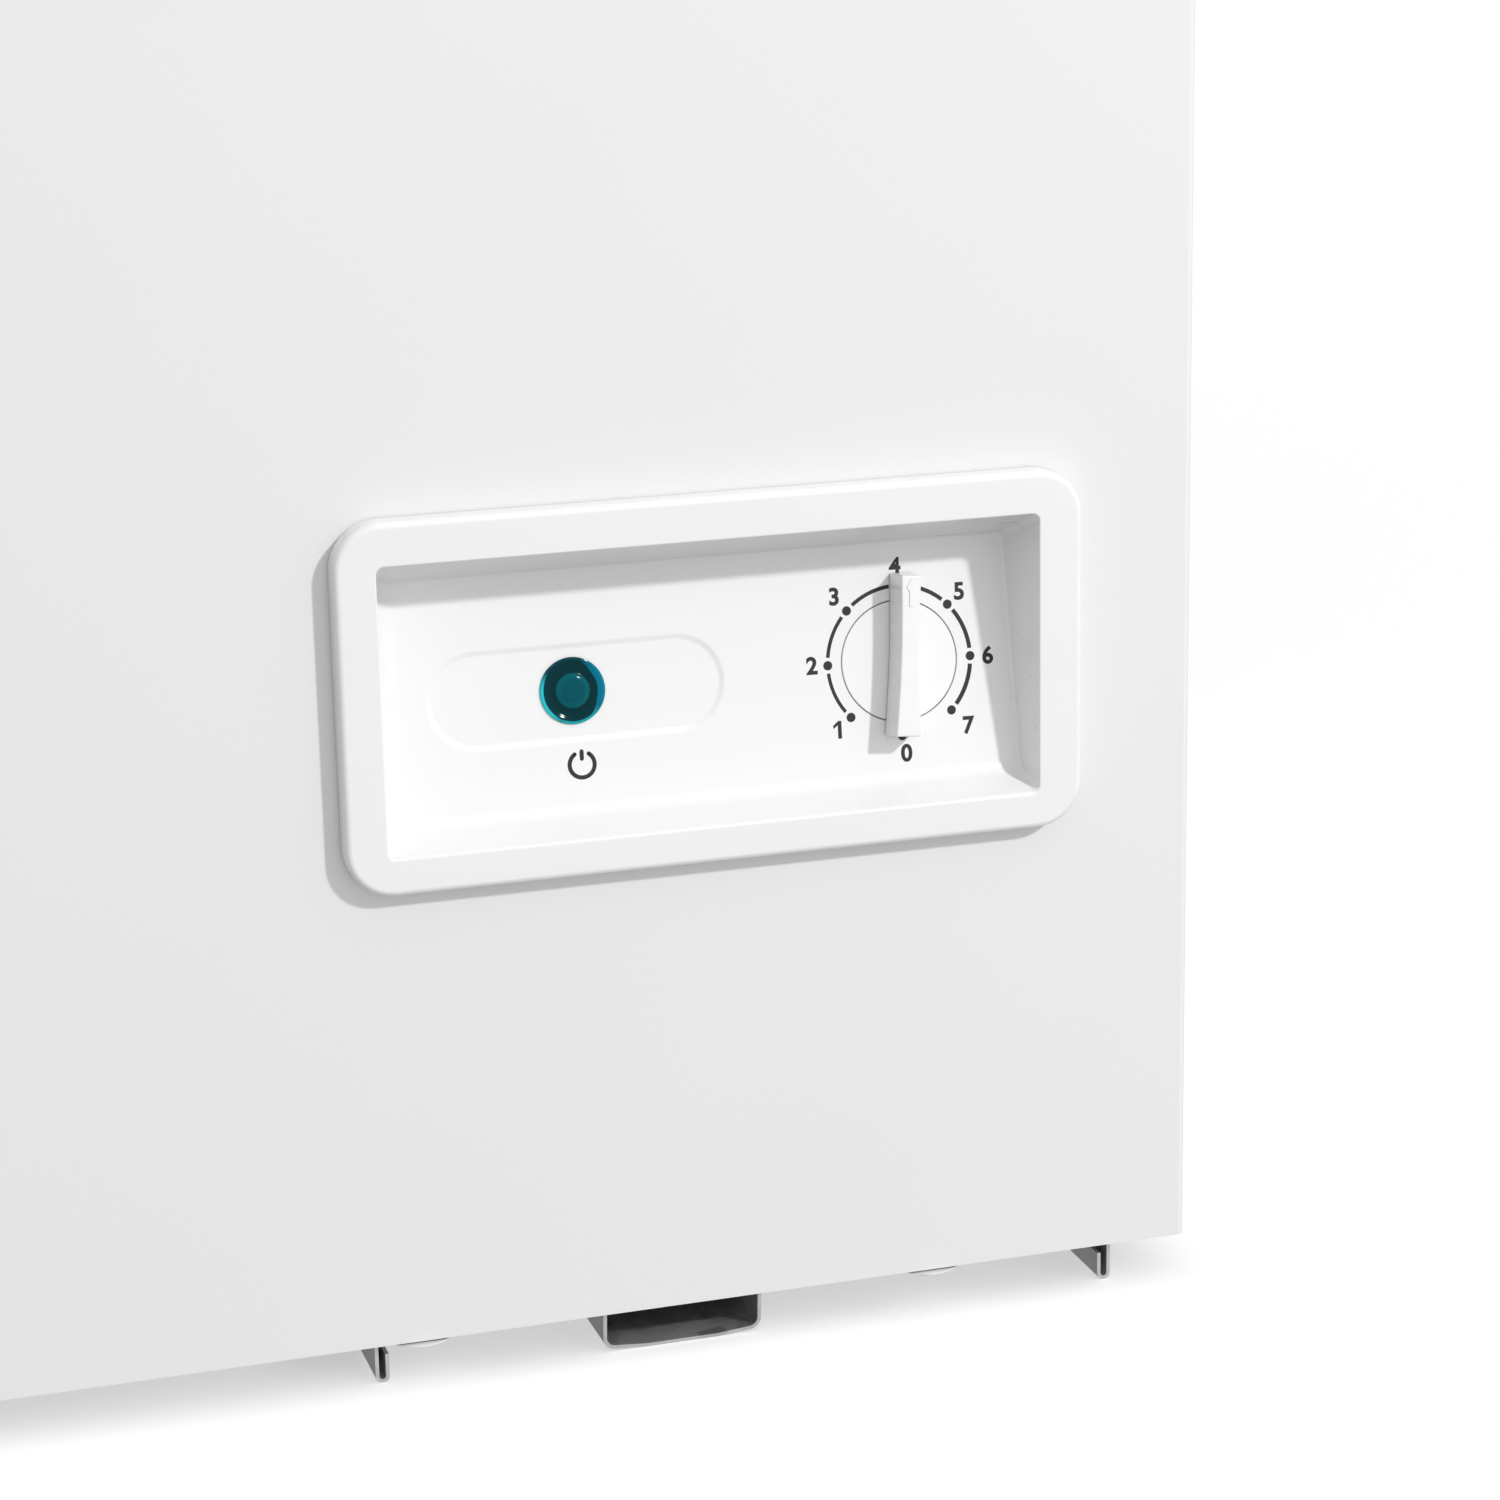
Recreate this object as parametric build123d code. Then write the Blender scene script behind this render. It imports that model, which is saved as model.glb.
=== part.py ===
"""Chest freezer with a lift-up lid, a sliding wire basket and a recessed control panel.

Millimetres. +Z is up, +X is to the right of someone who faces the front, and the front
faces -Y. The origin is the middle of the whole object's footprint, on the floor.
"""

from build123d import *
import math
import os

# ---------------------------------------------------------------- driving dimensions
# Cabinet
CABINET_WIDTH = 905.0
CABINET_DEPTH = 520.0
RIM_HEIGHT = 782.0
BASE_GAP = 12.0
SHEET = 0.8
SIDE_WALL = 60.0
FLOOR_WALL = 65.0
LINER_SHEET = 1.0
CABIN_CORNER = 25.0
FOLD_DEPTH = 12.0
RETURN_DEPTH = 15.0
SEAM_GAP = 0.3
FOLD_RADIUS = 2.0

# Compressor bay, at the lower right
BAY_MARGIN = 16.0
BAY_HEIGHT = 250.0
STEP_WALL = 50.0

# Rim collar
LIP = 2.0
COLLAR_PLATE = 3.0
COLLAR_DEPTH = 13.0
LEDGE_WIDTH = 8.0
LEDGE_DROP = 10.0

# Lid
LID_HEIGHT = 56.0
LID_OVERHANG_FRONT = 6.0
LID_SKIN = 0.8
LID_PLATE = 2.0
LID_PLUG = 5.0
LID_PLUG_INSET = 22.0
LID_CORNER = 10.0
LID_EDGE = 5.0
GASKET_HEIGHT = 7.0
GASKET_WIDTH = 13.0
GASKET_CORNER = 2.0
SEAL_GAP = 0.3
HANDLE_LENGTH = 190.0
HANDLE_HEIGHT = 34.0
HANDLE_OUT = 16.0
HANDLE_WALL = 3.0
HANDLE_EDGE = 4.0
HANDLE_SCREW_INSET = 25.0

# Hinges
HINGE_X = 300.0
HINGE_OUT = 14.0
HINGE_DROP = 8.0
EAR_RADIUS = 8.0
EAR_SHEET = 2.5
HINGE_WIDTH = 60.0
PIN_RADIUS = 3.0
PIN_CLEARANCE = 0.05
EAR_CLEARANCE = 0.4
HINGE_BASE_HEIGHT = 90.0
ARM_HEIGHT = 38.0
SPRING_WIRE = 1.5
SPRING_RADIUS = 5.2
SPRING_PITCH = 4.4
PIN_HEAD = 2.0
PIN_HEAD_LIP = 1.5
ARM_LIFT = 2.0
ARM_SCREW_INSET = 8.0
BASE_SCREW_INSET = 10.0

# Control panel, on the front near the lower right corner
BEZEL_WIDTH = 200.0
BEZEL_HEIGHT = 97.0
BEZEL_RIGHT_GAP = 34.0
BEZEL_BOTTOM_GAP = 125.0
BEZEL_PROUD = 6.7
BEZEL_CORNER = 12.5
BEZEL_EDGE = 3.0
FRAME_SIDE = 10.8
FRAME_TOP = 10.0
RECESS_TILT = 9.0
RECESS_MID_DEPTH = 16.1
RECESS_SIDE_DRAFT = 7.5
RECESS_TOP_DRAFT = 23.0
RECESS_BOTTOM_DRAFT = 21.0
BEZEL_WALL = 2.2
DIMPLE_LENGTH = 79.0
DIMPLE_WIDTH = 26.0
DIMPLE_DEPTH = 0.8
LAMP_U = -35.5
CONTROL_V = -2.9
DIAL_U = 54.0
LENS_RADIUS = 8.75
LENS_HEIGHT = 3.6
LENS_STEM_RADIUS = 5.0
LENS_STEM_LENGTH = 9.0
LENS_WALL = 1.5
LENS_CLEARANCE = 0.1
LENS_ROUNDING = 0.7
HOLDER_WIDTH = 16.0
HOLDER_HEIGHT = 14.0
HOLDER_DEPTH = 18.0
BULB_GAP = 0.5
BULB_LENGTH = 6.0

# Thermostat and its knob
KNOB_RADIUS = 16.0
KNOB_GAP = 0.3
KNOB_DISC = 2.2
GRIP_POINTER = 23.0
GRIP_TAIL = 19.5
GRIP_WIDTH_POINTER = 5.6
GRIP_WIDTH_TAIL = 7.0
GRIP_HEIGHT = 9.0
GRIP_DRAFT = 1.2
GRIP_LIFT = 0.4
NECK_LENGTH = 25.6
KNOB_REST_TURN = 4.5
SHAFT_RADIUS = 3.0
SHAFT_CLEARANCE = 0.05
SHAFT_HOLE_CLEARANCE = 0.5
BOSS_RADIUS = 19.0
BOSS_DEPTH = 5.0
THERMOSTAT_WIDTH = 34.0
THERMOSTAT_HEIGHT = 30.0
THERMOSTAT_DEPTH = 26.0
BULB_TUBE_RADIUS = 1.2
BULB_TUBE_BEND = 8.0
HARNESS_RADIUS = 2.5
HARNESS_BEND = 14.0

# Compressor tray and skid under the cabinet
TRAY_SHEET = 1.0
TRAY_MARGIN = 19.3
FLANGE_RIGHT_GAP = 20.8
HEM_WIDTH = 3.8
HEM_RETURN = 8.0
TRAY_FRONT_GAP = 4.0
CHANNEL_RIGHT_GAP = 124.0
CHANNEL_WIDTH = 44.5
CHANNEL_CROWN = 1.0
CHANNEL_FLAT = 20.0
CHANNEL_CORNER = 3.4
CHANNEL_RAKE = 1.2
SKID_WIDTH = 100.0
SCREW_HEAD_RADIUS = 4.7
SCREW_HEAD_HEIGHT = 3.2
SCREW_INSET = 8.0
SCREW_SHANK_RADIUS = 2.0
SCREW_HOLE_RADIUS = 2.2
TRAY_SCREW_GAPS = (74.5, 218.0)

# Refrigeration
COMPRESSOR_RADIUS = 72.0
COMPRESSOR_HEIGHT = 165.0
COMPRESSOR_Y = 120.0
POT_TOP_ROUNDING = 0.55
POT_LOW_ROUNDING = 0.3
WELD_PROUD = 3.0
WELD_HEIGHT = 5.0
WELD_SHARE = 0.55
FOOT_LENGTH = 200.0
FOOT_DEPTH = 120.0
FOOT_SHEET = 3.0
FOOT_CORNER = 18.0
FOOT_MARGIN_X = 7.0
FOOT_MARGIN_Y = 4.0
GROMMET_RADIUS = 11.0
GROMMET_HEIGHT = 16.0
GROOVE_DEPTH = 2.5
GROOVE_HEIGHT = 3.0
BOLT_RADIUS = 3.5
BOLT_SLACK = 0.2
BOLT_HEAD = 3.0
BOLT_CLEARANCE = 1.0
BORE_CLEARANCE = 0.5
NUT_RADIUS = 6.5
NUT_HEIGHT = 5.0
TERMINAL_WIDTH = 62.0
TERMINAL_HEIGHT = 70.0
TERMINAL_DEPTH = 34.0
TERMINAL_LAP = 12.0
TERMINAL_CORNER = 6.0
TERMINAL_SHARE = 0.3
PIPE_SHARE = 0.4
PIPE_BEND = 11.0
SUCTION_RADIUS = 4.0
SUCTION_OUT = 22.0
SUCTION_BACK = 60.0
SUCTION_DROP = 40.0
DISCHARGE_RADIUS = 3.0
DISCHARGE_OUT = 24.0
DISCHARGE_AHEAD = 90.0
DISCHARGE_DROP = 22.0
DRIER_RADIUS = 8.0
DRIER_LENGTH = 90.0
DRIER_NECK = 12.0
DRIER_OUT = 30.0
DRIER_AHEAD = 110.0
END_ROUNDING = 0.6
COIL_RADIUS = 3.0
COIL_TURNS = 6
COIL_GAP = 0.5
CONDENSER_RUNS = 6
CONDENSER_BEND = 35.0
CONDENSER_STRAIGHT = 2.0

# Drain
DRAIN_X = -330.0
DRAIN_Y = -150.0
DRAIN_BORE = 5.0
DRAIN_WALL = 1.5
DRAIN_HEIGHT = 34.0
DRAIN_BEND = 15.0
SPOUT_OUT = 6.0
DRAIN_GAP = 0.3
PLUG_LENGTH = 12.0
PLUG_FLANGE_RADIUS = 11.0
PLUG_FLANGE = 3.0
CAP_WALL = 2.5
PLUG_TAB = 8.0
PLUG_TAB_SHEET = 2.5

# Basket
BASKET_LENGTH = 300.0
BASKET_SIDE_GAP = 10.0
BASKET_DEPTH = 190.0
BASKET_END_GAP = 8.0
RIM_WIRE = 2.5
MESH_WIRE = 1.5
MESH_PITCH = 32.0
WELD_STEP = 2.6
BASKET_CORNER = 12.0
HANGER_WIRE = 3.0
HANGER_LENGTH = 130.0
HANGER_OVERLAP = 4.0

# Rear cover of the bay
GRILLE_SHEET = 1.5
GRILLE_LAP = 6.0
SLOT_LENGTH = 90.0
SLOT_HEIGHT = 5.0
SLOT_PITCH = 16.0
SLOT_ROWS = 11
INLET_RADIUS = 8.0
INLET_LAP = 2.0
INLET_WALL = 2.0
INLET_HEAD = 2.5
SMALL_SCREW_RADIUS = 3.5
SMALL_SCREW_HEIGHT = 2.0
SMALL_SHANK_RADIUS = 1.6
SMALL_HOLE_RADIUS = 1.8

# ---------------------------------------------------------------- places worked out
HALF_W = CABINET_WIDTH / 2
FRONT_OUT = LID_OVERHANG_FRONT + HANDLE_OUT
REAR_OUT = HINGE_OUT + EAR_RADIUS
FRONT_Y = -(CABINET_DEPTH + REAR_OUT - FRONT_OUT) / 2
BACK_Y = FRONT_Y + CABINET_DEPTH
MID_Y = (FRONT_Y + BACK_Y) / 2
CABIN_X = HALF_W - SIDE_WALL
CABIN_FRONT = FRONT_Y + SIDE_WALL
CABIN_BACK = BACK_Y - SIDE_WALL
CABIN_FLOOR = BASE_GAP + FLOOR_WALL
COLLAR_BOTTOM = RIM_HEIGHT - COLLAR_DEPTH
LEDGE_Z = RIM_HEIGHT - LEDGE_DROP
BAY_WIDTH = BEZEL_RIGHT_GAP + BEZEL_WIDTH + BAY_MARGIN
BAY_LEFT = HALF_W - BAY_WIDTH
BAY_TOP = BASE_GAP + BAY_HEIGHT
STEP_X = BAY_LEFT - STEP_WALL
STEP_Z = BAY_TOP + STEP_WALL
LID_BOTTOM = RIM_HEIGHT + GASKET_HEIGHT
LID_TOP = LID_BOTTOM + LID_HEIGHT
LID_HALF_W = HALF_W + LIP
LID_FRONT = FRONT_Y - LID_OVERHANG_FRONT
LID_BACK = BACK_Y - LIP
HINGE_Y = BACK_Y + HINGE_OUT
HINGE_Z = LID_BOTTOM - HINGE_DROP
BEZEL_X = HALF_W - BEZEL_RIGHT_GAP - BEZEL_WIDTH / 2
BEZEL_Z = BASE_GAP + BEZEL_BOTTOM_GAP + BEZEL_HEIGHT / 2
BEZEL_FACE = FRONT_Y - BEZEL_PROUD
OPENING_HALF_W = BEZEL_WIDTH / 2 - FRAME_SIDE
OPENING_HALF_H = BEZEL_HEIGHT / 2 - FRAME_TOP
CUTOUT_CLEARANCE = 1.0
CHANNEL_X = HALF_W - CHANNEL_RIGHT_GAP - CHANNEL_WIDTH / 2
COMPRESSOR_X = (BAY_LEFT + HALF_W) / 2

# The recess floor is a plane that leans back, with its u axis along X and v up the slope.
RECESS_FLOOR = Plane(
    origin=(BEZEL_X, BEZEL_FACE + RECESS_MID_DEPTH, BEZEL_Z),
    x_dir=(1, 0, 0),
    z_dir=(0, -math.cos(math.radians(RECESS_TILT)), math.sin(math.radians(RECESS_TILT))),
)


# ---------------------------------------------------------------- helpers
def block(x0, x1, y0, y1, z0, z1):
    """A box between two corners."""
    middle = Pos((x0 + x1) / 2, (y0 + y1) / 2, (z0 + z1) / 2)
    return middle * Box(x1 - x0, y1 - y0, z1 - z0)


def prism(x0, x1, y0, y1, z0, z1, corner):
    """A box whose upright edges are rounded."""
    outline = Pos((x0 + x1) / 2, (y0 + y1) / 2, z0) * RectangleRounded(x1 - x0, y1 - y0, corner)
    return extrude(outline, z1 - z0)


def rod(start, end, radius):
    """A round bar between two points."""
    run = Vector(*end) - Vector(*start)
    return extrude(Plane(origin=start, z_dir=run) * Circle(radius), run.length)


def tube(points, bends, radius):
    """A round bar along straight runs joined by arcs."""
    path = FilletPolyline(*points, radius=bends)
    return sweep(Plane(origin=path @ 0, z_dir=path % 0) * Circle(radius), path=path)


def on_floor(u, v, height=0.0):
    """A place on the recess floor, raised along its normal."""
    return RECESS_FLOOR * Pos(u, v, height)


def save(name, shape):
    """Writes one named piece, with its solids as a plain group."""
    solids = shape.solids()
    whole = solids[0] if len(solids) == 1 else Compound(children=list(solids))
    whole.label = name
    export_step(whole, f"parts/{name}.step")


# ---------------------------------------------------------------- sheet metal
def front_panel():
    """Painted front with folded sides, a bottom return and the control cut-out."""
    edge = FRONT_Y + FOLD_DEPTH
    outer = block(-HALF_W, HALF_W, FRONT_Y, edge, BASE_GAP, RIM_HEIGHT - COLLAR_PLATE)
    corners = outer.edges().filter_by(Axis.Z).group_by(Axis.Y)[0]
    outer = fillet(corners, FOLD_RADIUS)
    inner = block(-HALF_W + SHEET, HALF_W - SHEET, FRONT_Y + SHEET, edge, BASE_GAP, RIM_HEIGHT)
    bottom = block(
        -HALF_W + SHEET, HALF_W - SHEET, FRONT_Y + SHEET, FRONT_Y + RETURN_DEPTH,
        BASE_GAP, BASE_GAP + SHEET,
    )
    holes = [
        Pos(HALF_W - gap, FRONT_Y + SCREW_INSET, BASE_GAP) * Cylinder(SCREW_HOLE_RADIUS, 4 * SHEET)
        for gap in TRAY_SCREW_GAPS
    ]
    cut_w = OPENING_HALF_W + BEZEL_WALL + CUTOUT_CLEARANCE
    cut_h = OPENING_HALF_H + BEZEL_WALL + CUTOUT_CLEARANCE
    cut = block(
        BEZEL_X - cut_w, BEZEL_X + cut_w, FRONT_Y - SHEET, FRONT_Y + 2 * SHEET,
        BEZEL_Z - cut_h, BEZEL_Z + cut_h,
    )
    return outer - inner + bottom - cut - spout_clearance() - holes


def side_panel(side):
    """Painted side sheet with a bottom return. Side is -1 on the left and 1 on the right."""
    x_out = side * HALF_W
    x_in = side * (HALF_W - SHEET)
    x_return = side * (HALF_W - RETURN_DEPTH)
    y0 = FRONT_Y + FOLD_DEPTH + SEAM_GAP
    y1 = BACK_Y - SHEET
    sheet = block(min(x_out, x_in), max(x_out, x_in), y0, y1, BASE_GAP, RIM_HEIGHT - COLLAR_PLATE)
    y0_return = FRONT_Y + RETURN_DEPTH + SEAM_GAP
    fold = block(
        min(x_return, x_in), max(x_return, x_in), y0_return, y1, BASE_GAP, BASE_GAP + SHEET
    )
    return sheet + fold


def back_panel():
    """Rear sheet, cut away behind the compressor bay."""
    sheet = block(
        -HALF_W, HALF_W, BACK_Y - SHEET, BACK_Y, BASE_GAP, RIM_HEIGHT - COLLAR_PLATE
    )
    bay = block(
        BAY_LEFT + GRILLE_LAP, HALF_W - 2 * GRILLE_LAP, BACK_Y - 2 * SHEET, BACK_Y + SHEET,
        BASE_GAP + GRILLE_LAP, BAY_TOP - GRILLE_LAP,
    )
    return sheet - bay


def bottom_panel():
    """Sheet under the floor insulation, left of the bay."""
    sheet = block(
        -HALF_W + RETURN_DEPTH + SEAM_GAP, BAY_LEFT, FRONT_Y + RETURN_DEPTH + SEAM_GAP,
        BACK_Y - SHEET, BASE_GAP, BASE_GAP + SHEET,
    )
    holes = [place * Cylinder(SCREW_HOLE_RADIUS, 6 * TRAY_SHEET) for place in skid_screw_places()]
    return sheet - holes


def bay_shield():
    """Bent sheet that lines the wall and ceiling of the compressor bay."""
    y0 = FRONT_Y + FOLD_DEPTH + SEAM_GAP
    y1 = BACK_Y - SHEET
    wall = block(BAY_LEFT, BAY_LEFT + SHEET, y0, y1, BASE_GAP + SHEET, BAY_TOP)
    ceiling = block(BAY_LEFT, HALF_W - SHEET, y0, y1, BAY_TOP - SHEET, BAY_TOP)
    return wall + ceiling


def rear_grille():
    """Louvred cover over the back of the bay, with the cord's inlet hole."""
    x0 = BAY_LEFT
    x1 = HALF_W - GRILLE_LAP
    plate = block(
        x0, x1, BACK_Y, BACK_Y + GRILLE_SHEET, BASE_GAP + SHEET, BAY_TOP + GRILLE_LAP
    )
    slots = []
    for row in range(SLOT_ROWS):
        z = BASE_GAP + 4 * GRILLE_LAP + row * SLOT_PITCH
        for column in (1, 3):
            x = x0 + (x1 - x0) * column / 4
            slot = Pos(x, BACK_Y, z) * Rot(90, 0, 0) * SlotOverall(SLOT_LENGTH, SLOT_HEIGHT)
            slots.append(extrude(slot, 2 * GRILLE_SHEET, both=True))
    inlet = inlet_place() * Cylinder(INLET_RADIUS - INLET_LAP, 4 * GRILLE_SHEET)
    screws = [place * Cylinder(SMALL_HOLE_RADIUS, 4 * GRILLE_SHEET) for place in grille_screw_places()]
    return plate - slots - inlet - screws


def grille_screw_places():
    """Middles of the screw holes near the grille's four corners, facing back."""
    inset = 2 * SMALL_SCREW_RADIUS
    x0 = BAY_LEFT + inset
    x1 = HALF_W - GRILLE_LAP - inset
    z0 = BASE_GAP + SHEET + inset
    z1 = BAY_TOP + GRILLE_LAP - inset
    corners = [(x, z) for x in (x0, x1) for z in (z0, z1)]
    return [Pos(x, BACK_Y + GRILLE_SHEET, z) * Rot(-90, 0, 0) for x, z in corners]


def inlet_place():
    """Where the supply cord would enter, at the grille's top."""
    z = BASE_GAP + 4 * GRILLE_LAP + SLOT_ROWS * SLOT_PITCH + INLET_RADIUS
    return Pos(COMPRESSOR_X, BACK_Y + GRILLE_SHEET, z) * Rot(-90, 0, 0)


def cord_inlet():
    """Rubber grommet that lines the cord's hole."""
    waist_radius = INLET_RADIUS - INLET_LAP
    waist = Cylinder(waist_radius, GRILLE_SHEET, align=(Align.CENTER, Align.CENTER, Align.MAX))
    head = Cylinder(INLET_RADIUS, INLET_HEAD, align=(Align.CENTER, Align.CENTER, Align.MIN))
    bore = Cylinder(waist_radius - INLET_WALL, 6 * INLET_HEAD)
    return inlet_place() * (waist + head - bore)


def pan_head(radius, height):
    """A domed screw head that stands on its seat."""
    head = Cylinder(radius, height, align=(Align.CENTER, Align.CENTER, Align.MIN))
    top = head.edges().group_by(Axis.Z)[-1]
    return fillet(top, END_ROUNDING * height)


def small_screw(length):
    """A domed head with a plain shank below its seat."""
    head = pan_head(SMALL_SCREW_RADIUS, SMALL_SCREW_HEIGHT)
    shank = Cylinder(SMALL_SHANK_RADIUS, length, align=(Align.CENTER, Align.CENTER, Align.MAX))
    return head + shank


def grille_screws():
    """Four screws that hold the rear cover."""
    return [place * small_screw(GRILLE_SHEET) for place in grille_screw_places()]


# ---------------------------------------------------------------- insulation and liner
def cabin_space(grow, top):
    """The storage space, grown outwards by a wall, up to a height."""
    lower = prism(
        -CABIN_X - grow, STEP_X + grow, CABIN_FRONT - grow, CABIN_BACK + grow,
        CABIN_FLOOR - grow, STEP_Z, CABIN_CORNER + grow,
    )
    upper = prism(
        -CABIN_X - grow, CABIN_X + grow, CABIN_FRONT - grow, CABIN_BACK + grow,
        STEP_Z - grow, top, CABIN_CORNER + grow,
    )
    return lower + upper


def inner_liner():
    """Thin liner of the cabin, stepped over the compressor bay, with a drain hole."""
    shell = cabin_space(LINER_SHEET, COLLAR_BOTTOM) - cabin_space(0.0, RIM_HEIGHT)
    hole = Pos(DRAIN_X, DRAIN_Y, CABIN_FLOOR) * Cylinder(DRAIN_BORE + DRAIN_WALL, 4 * LINER_SHEET)
    return shell - hole


def insulation_foam():
    """Foam that fills the walls between the liner and the panels."""
    body = block(
        -HALF_W + SHEET, HALF_W - SHEET, FRONT_Y + FOLD_DEPTH + SEAM_GAP, BACK_Y - SHEET,
        BASE_GAP + SHEET, COLLAR_BOTTOM,
    )
    front = block(
        -HALF_W + FOLD_RADIUS, HALF_W - FOLD_RADIUS, FRONT_Y + SHEET,
        FRONT_Y + FOLD_DEPTH + SEAM_GAP, BASE_GAP + SHEET, COLLAR_BOTTOM,
    )
    collar = block(
        -HALF_W + SHEET, HALF_W - SHEET, FRONT_Y + FOLD_DEPTH + SEAM_GAP, BACK_Y - SHEET,
        COLLAR_BOTTOM, RIM_HEIGHT - COLLAR_PLATE,
    )
    collar_hole = block(
        -CABIN_X - COLLAR_PLATE, CABIN_X + COLLAR_PLATE,
        CABIN_FRONT - LEDGE_WIDTH - COLLAR_PLATE, CABIN_BACK + LEDGE_WIDTH + COLLAR_PLATE,
        COLLAR_BOTTOM - LEDGE_DROP, RIM_HEIGHT,
    )
    bay = block(BAY_LEFT, HALF_W, FRONT_Y, BACK_Y, 0, BAY_TOP)
    solid = body + front - cabin_space(LINER_SHEET, RIM_HEIGHT)
    solid = solid + (collar - collar_hole)
    return solid - bay - drain_space()


def collar_ring(x_out, y_out, x_in, y_in, z0, z1):
    """A square ring round the cabin: each y is how far it goes beyond the cabin."""
    outer = block(-x_out, x_out, CABIN_FRONT - y_out, CABIN_BACK + y_out, z0, z1)
    inner = block(
        -x_in, x_in, CABIN_FRONT - y_in, CABIN_BACK + y_in, z0 - COLLAR_DEPTH, z1 + COLLAR_DEPTH
    )
    return outer - inner


def rim_frame():
    """Plastic collar round the opening, with a ledge front and back for the basket."""
    out_y = SIDE_WALL + LIP
    under_plate = RIM_HEIGHT - COLLAR_PLATE
    wall_x = CABIN_X + COLLAR_PLATE
    wall_y = LEDGE_WIDTH + COLLAR_PLATE
    top = collar_ring(HALF_W + LIP, out_y, CABIN_X, LEDGE_WIDTH, under_plate, RIM_HEIGHT)
    lip = collar_ring(HALF_W + LIP, out_y, HALF_W, SIDE_WALL, COLLAR_BOTTOM, under_plate)
    ledge_wall = collar_ring(wall_x, wall_y, CABIN_X, LEDGE_WIDTH, COLLAR_BOTTOM, under_plate)
    ledge = block(
        -wall_x, wall_x, CABIN_FRONT - wall_y, CABIN_BACK + wall_y, COLLAR_BOTTOM, LEDGE_Z
    )
    mouth = prism(
        -CABIN_X, CABIN_X, CABIN_FRONT, CABIN_BACK, COLLAR_BOTTOM - 1, LEDGE_Z + 1, CABIN_CORNER
    )
    behind = block(
        -CABINET_WIDTH, CABINET_WIDTH, BACK_Y, BACK_Y + SIDE_WALL, 0, 2 * RIM_HEIGHT
    )
    return top + lip + ledge_wall + (ledge - mouth) - behind


def evaporator_coil():
    """Tube wound round the outside of the liner, inside the foam."""
    grow = LINER_SHEET + COIL_RADIUS + COIL_GAP
    x = CABIN_X + grow
    y0 = CABIN_FRONT - grow
    y1 = CABIN_BACK + grow
    bottom = STEP_Z + SIDE_WALL
    pitch = (COLLAR_BOTTOM - SIDE_WALL - bottom) / COIL_TURNS
    points = []
    for turn in range(COIL_TURNS):
        z = bottom + turn * pitch
        points += [(-x, y0, z), (x, y0, z), (x, y1, z), (-x, y1, z)]
    points.append((-x, y0, bottom + COIL_TURNS * pitch))
    start = (-x, MID_Y, bottom)
    return tube([start] + points, CABIN_CORNER + grow, COIL_RADIUS)


def condenser_coil():
    """Tube that runs to and fro behind the back panel, inside the foam."""
    y = BACK_Y - SHEET - COIL_RADIUS
    x0 = -HALF_W + SIDE_WALL
    x1 = BAY_LEFT - SIDE_WALL
    z0 = CABIN_FLOOR + SIDE_WALL
    pitch = 2 * CONDENSER_BEND + CONDENSER_STRAIGHT
    points = [(x1, y, z0)]
    for run in range(CONDENSER_RUNS):
        z = z0 + run * pitch
        ends = (x1, x0) if run % 2 == 0 else (x0, x1)
        points += [(ends[0], y, z), (ends[1], y, z)]
    return tube(points[1:], CONDENSER_BEND, COIL_RADIUS)


# ---------------------------------------------------------------- base
def hem_outline(side):
    """Section of a flange whose lower edge is folded back on itself.

    The outline is in X and Z, with the flange's outer face at x = 0. Side is 1 when the
    fold goes towards +X.
    """
    half = HEM_WIDTH / 2
    plate = Pos(TRAY_SHEET / 2, (half + BASE_GAP) / 2) * Rectangle(TRAY_SHEET, BASE_GAP - half)
    fold_x = HEM_WIDTH - TRAY_SHEET / 2
    fold = Pos(fold_x, (half + HEM_RETURN) / 2) * Rectangle(TRAY_SHEET, HEM_RETURN - half)
    bend = Pos(half, half) * (Circle(half) - Circle(half - TRAY_SHEET))
    bend = bend & (Pos(half, half / 2) * Rectangle(HEM_WIDTH, half))
    outline = plate + fold + bend
    if side < 0:
        outline = mirror(outline, Plane.YZ)
    return outline


def hemmed_flange(x_outer, side, y0, y1):
    """A hemmed flange that runs from front to back under the cabinet."""
    face = Plane(origin=(x_outer, y1, 0), x_dir=(1, 0, 0), z_dir=(0, -1, 0))
    return extrude(face * hem_outline(side), y1 - y0)


def channel_outline(thickness):
    """Half-open section of the dropped channel, with a slightly crowned bottom."""
    half = CHANNEL_WIDTH / 2 - thickness
    low = thickness
    top = BASE_GAP + thickness
    outline = make_face(
        Polyline(
            (-half, top), (-half, low + CHANNEL_CROWN), (-CHANNEL_FLAT / 2, low),
            (CHANNEL_FLAT / 2, low), (half, low + CHANNEL_CROWN), (half, top), close=True,
        )
    )
    corners = outline.vertices().group_by(Axis.Y)[1]
    return fillet(corners, CHANNEL_CORNER - thickness)


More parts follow.
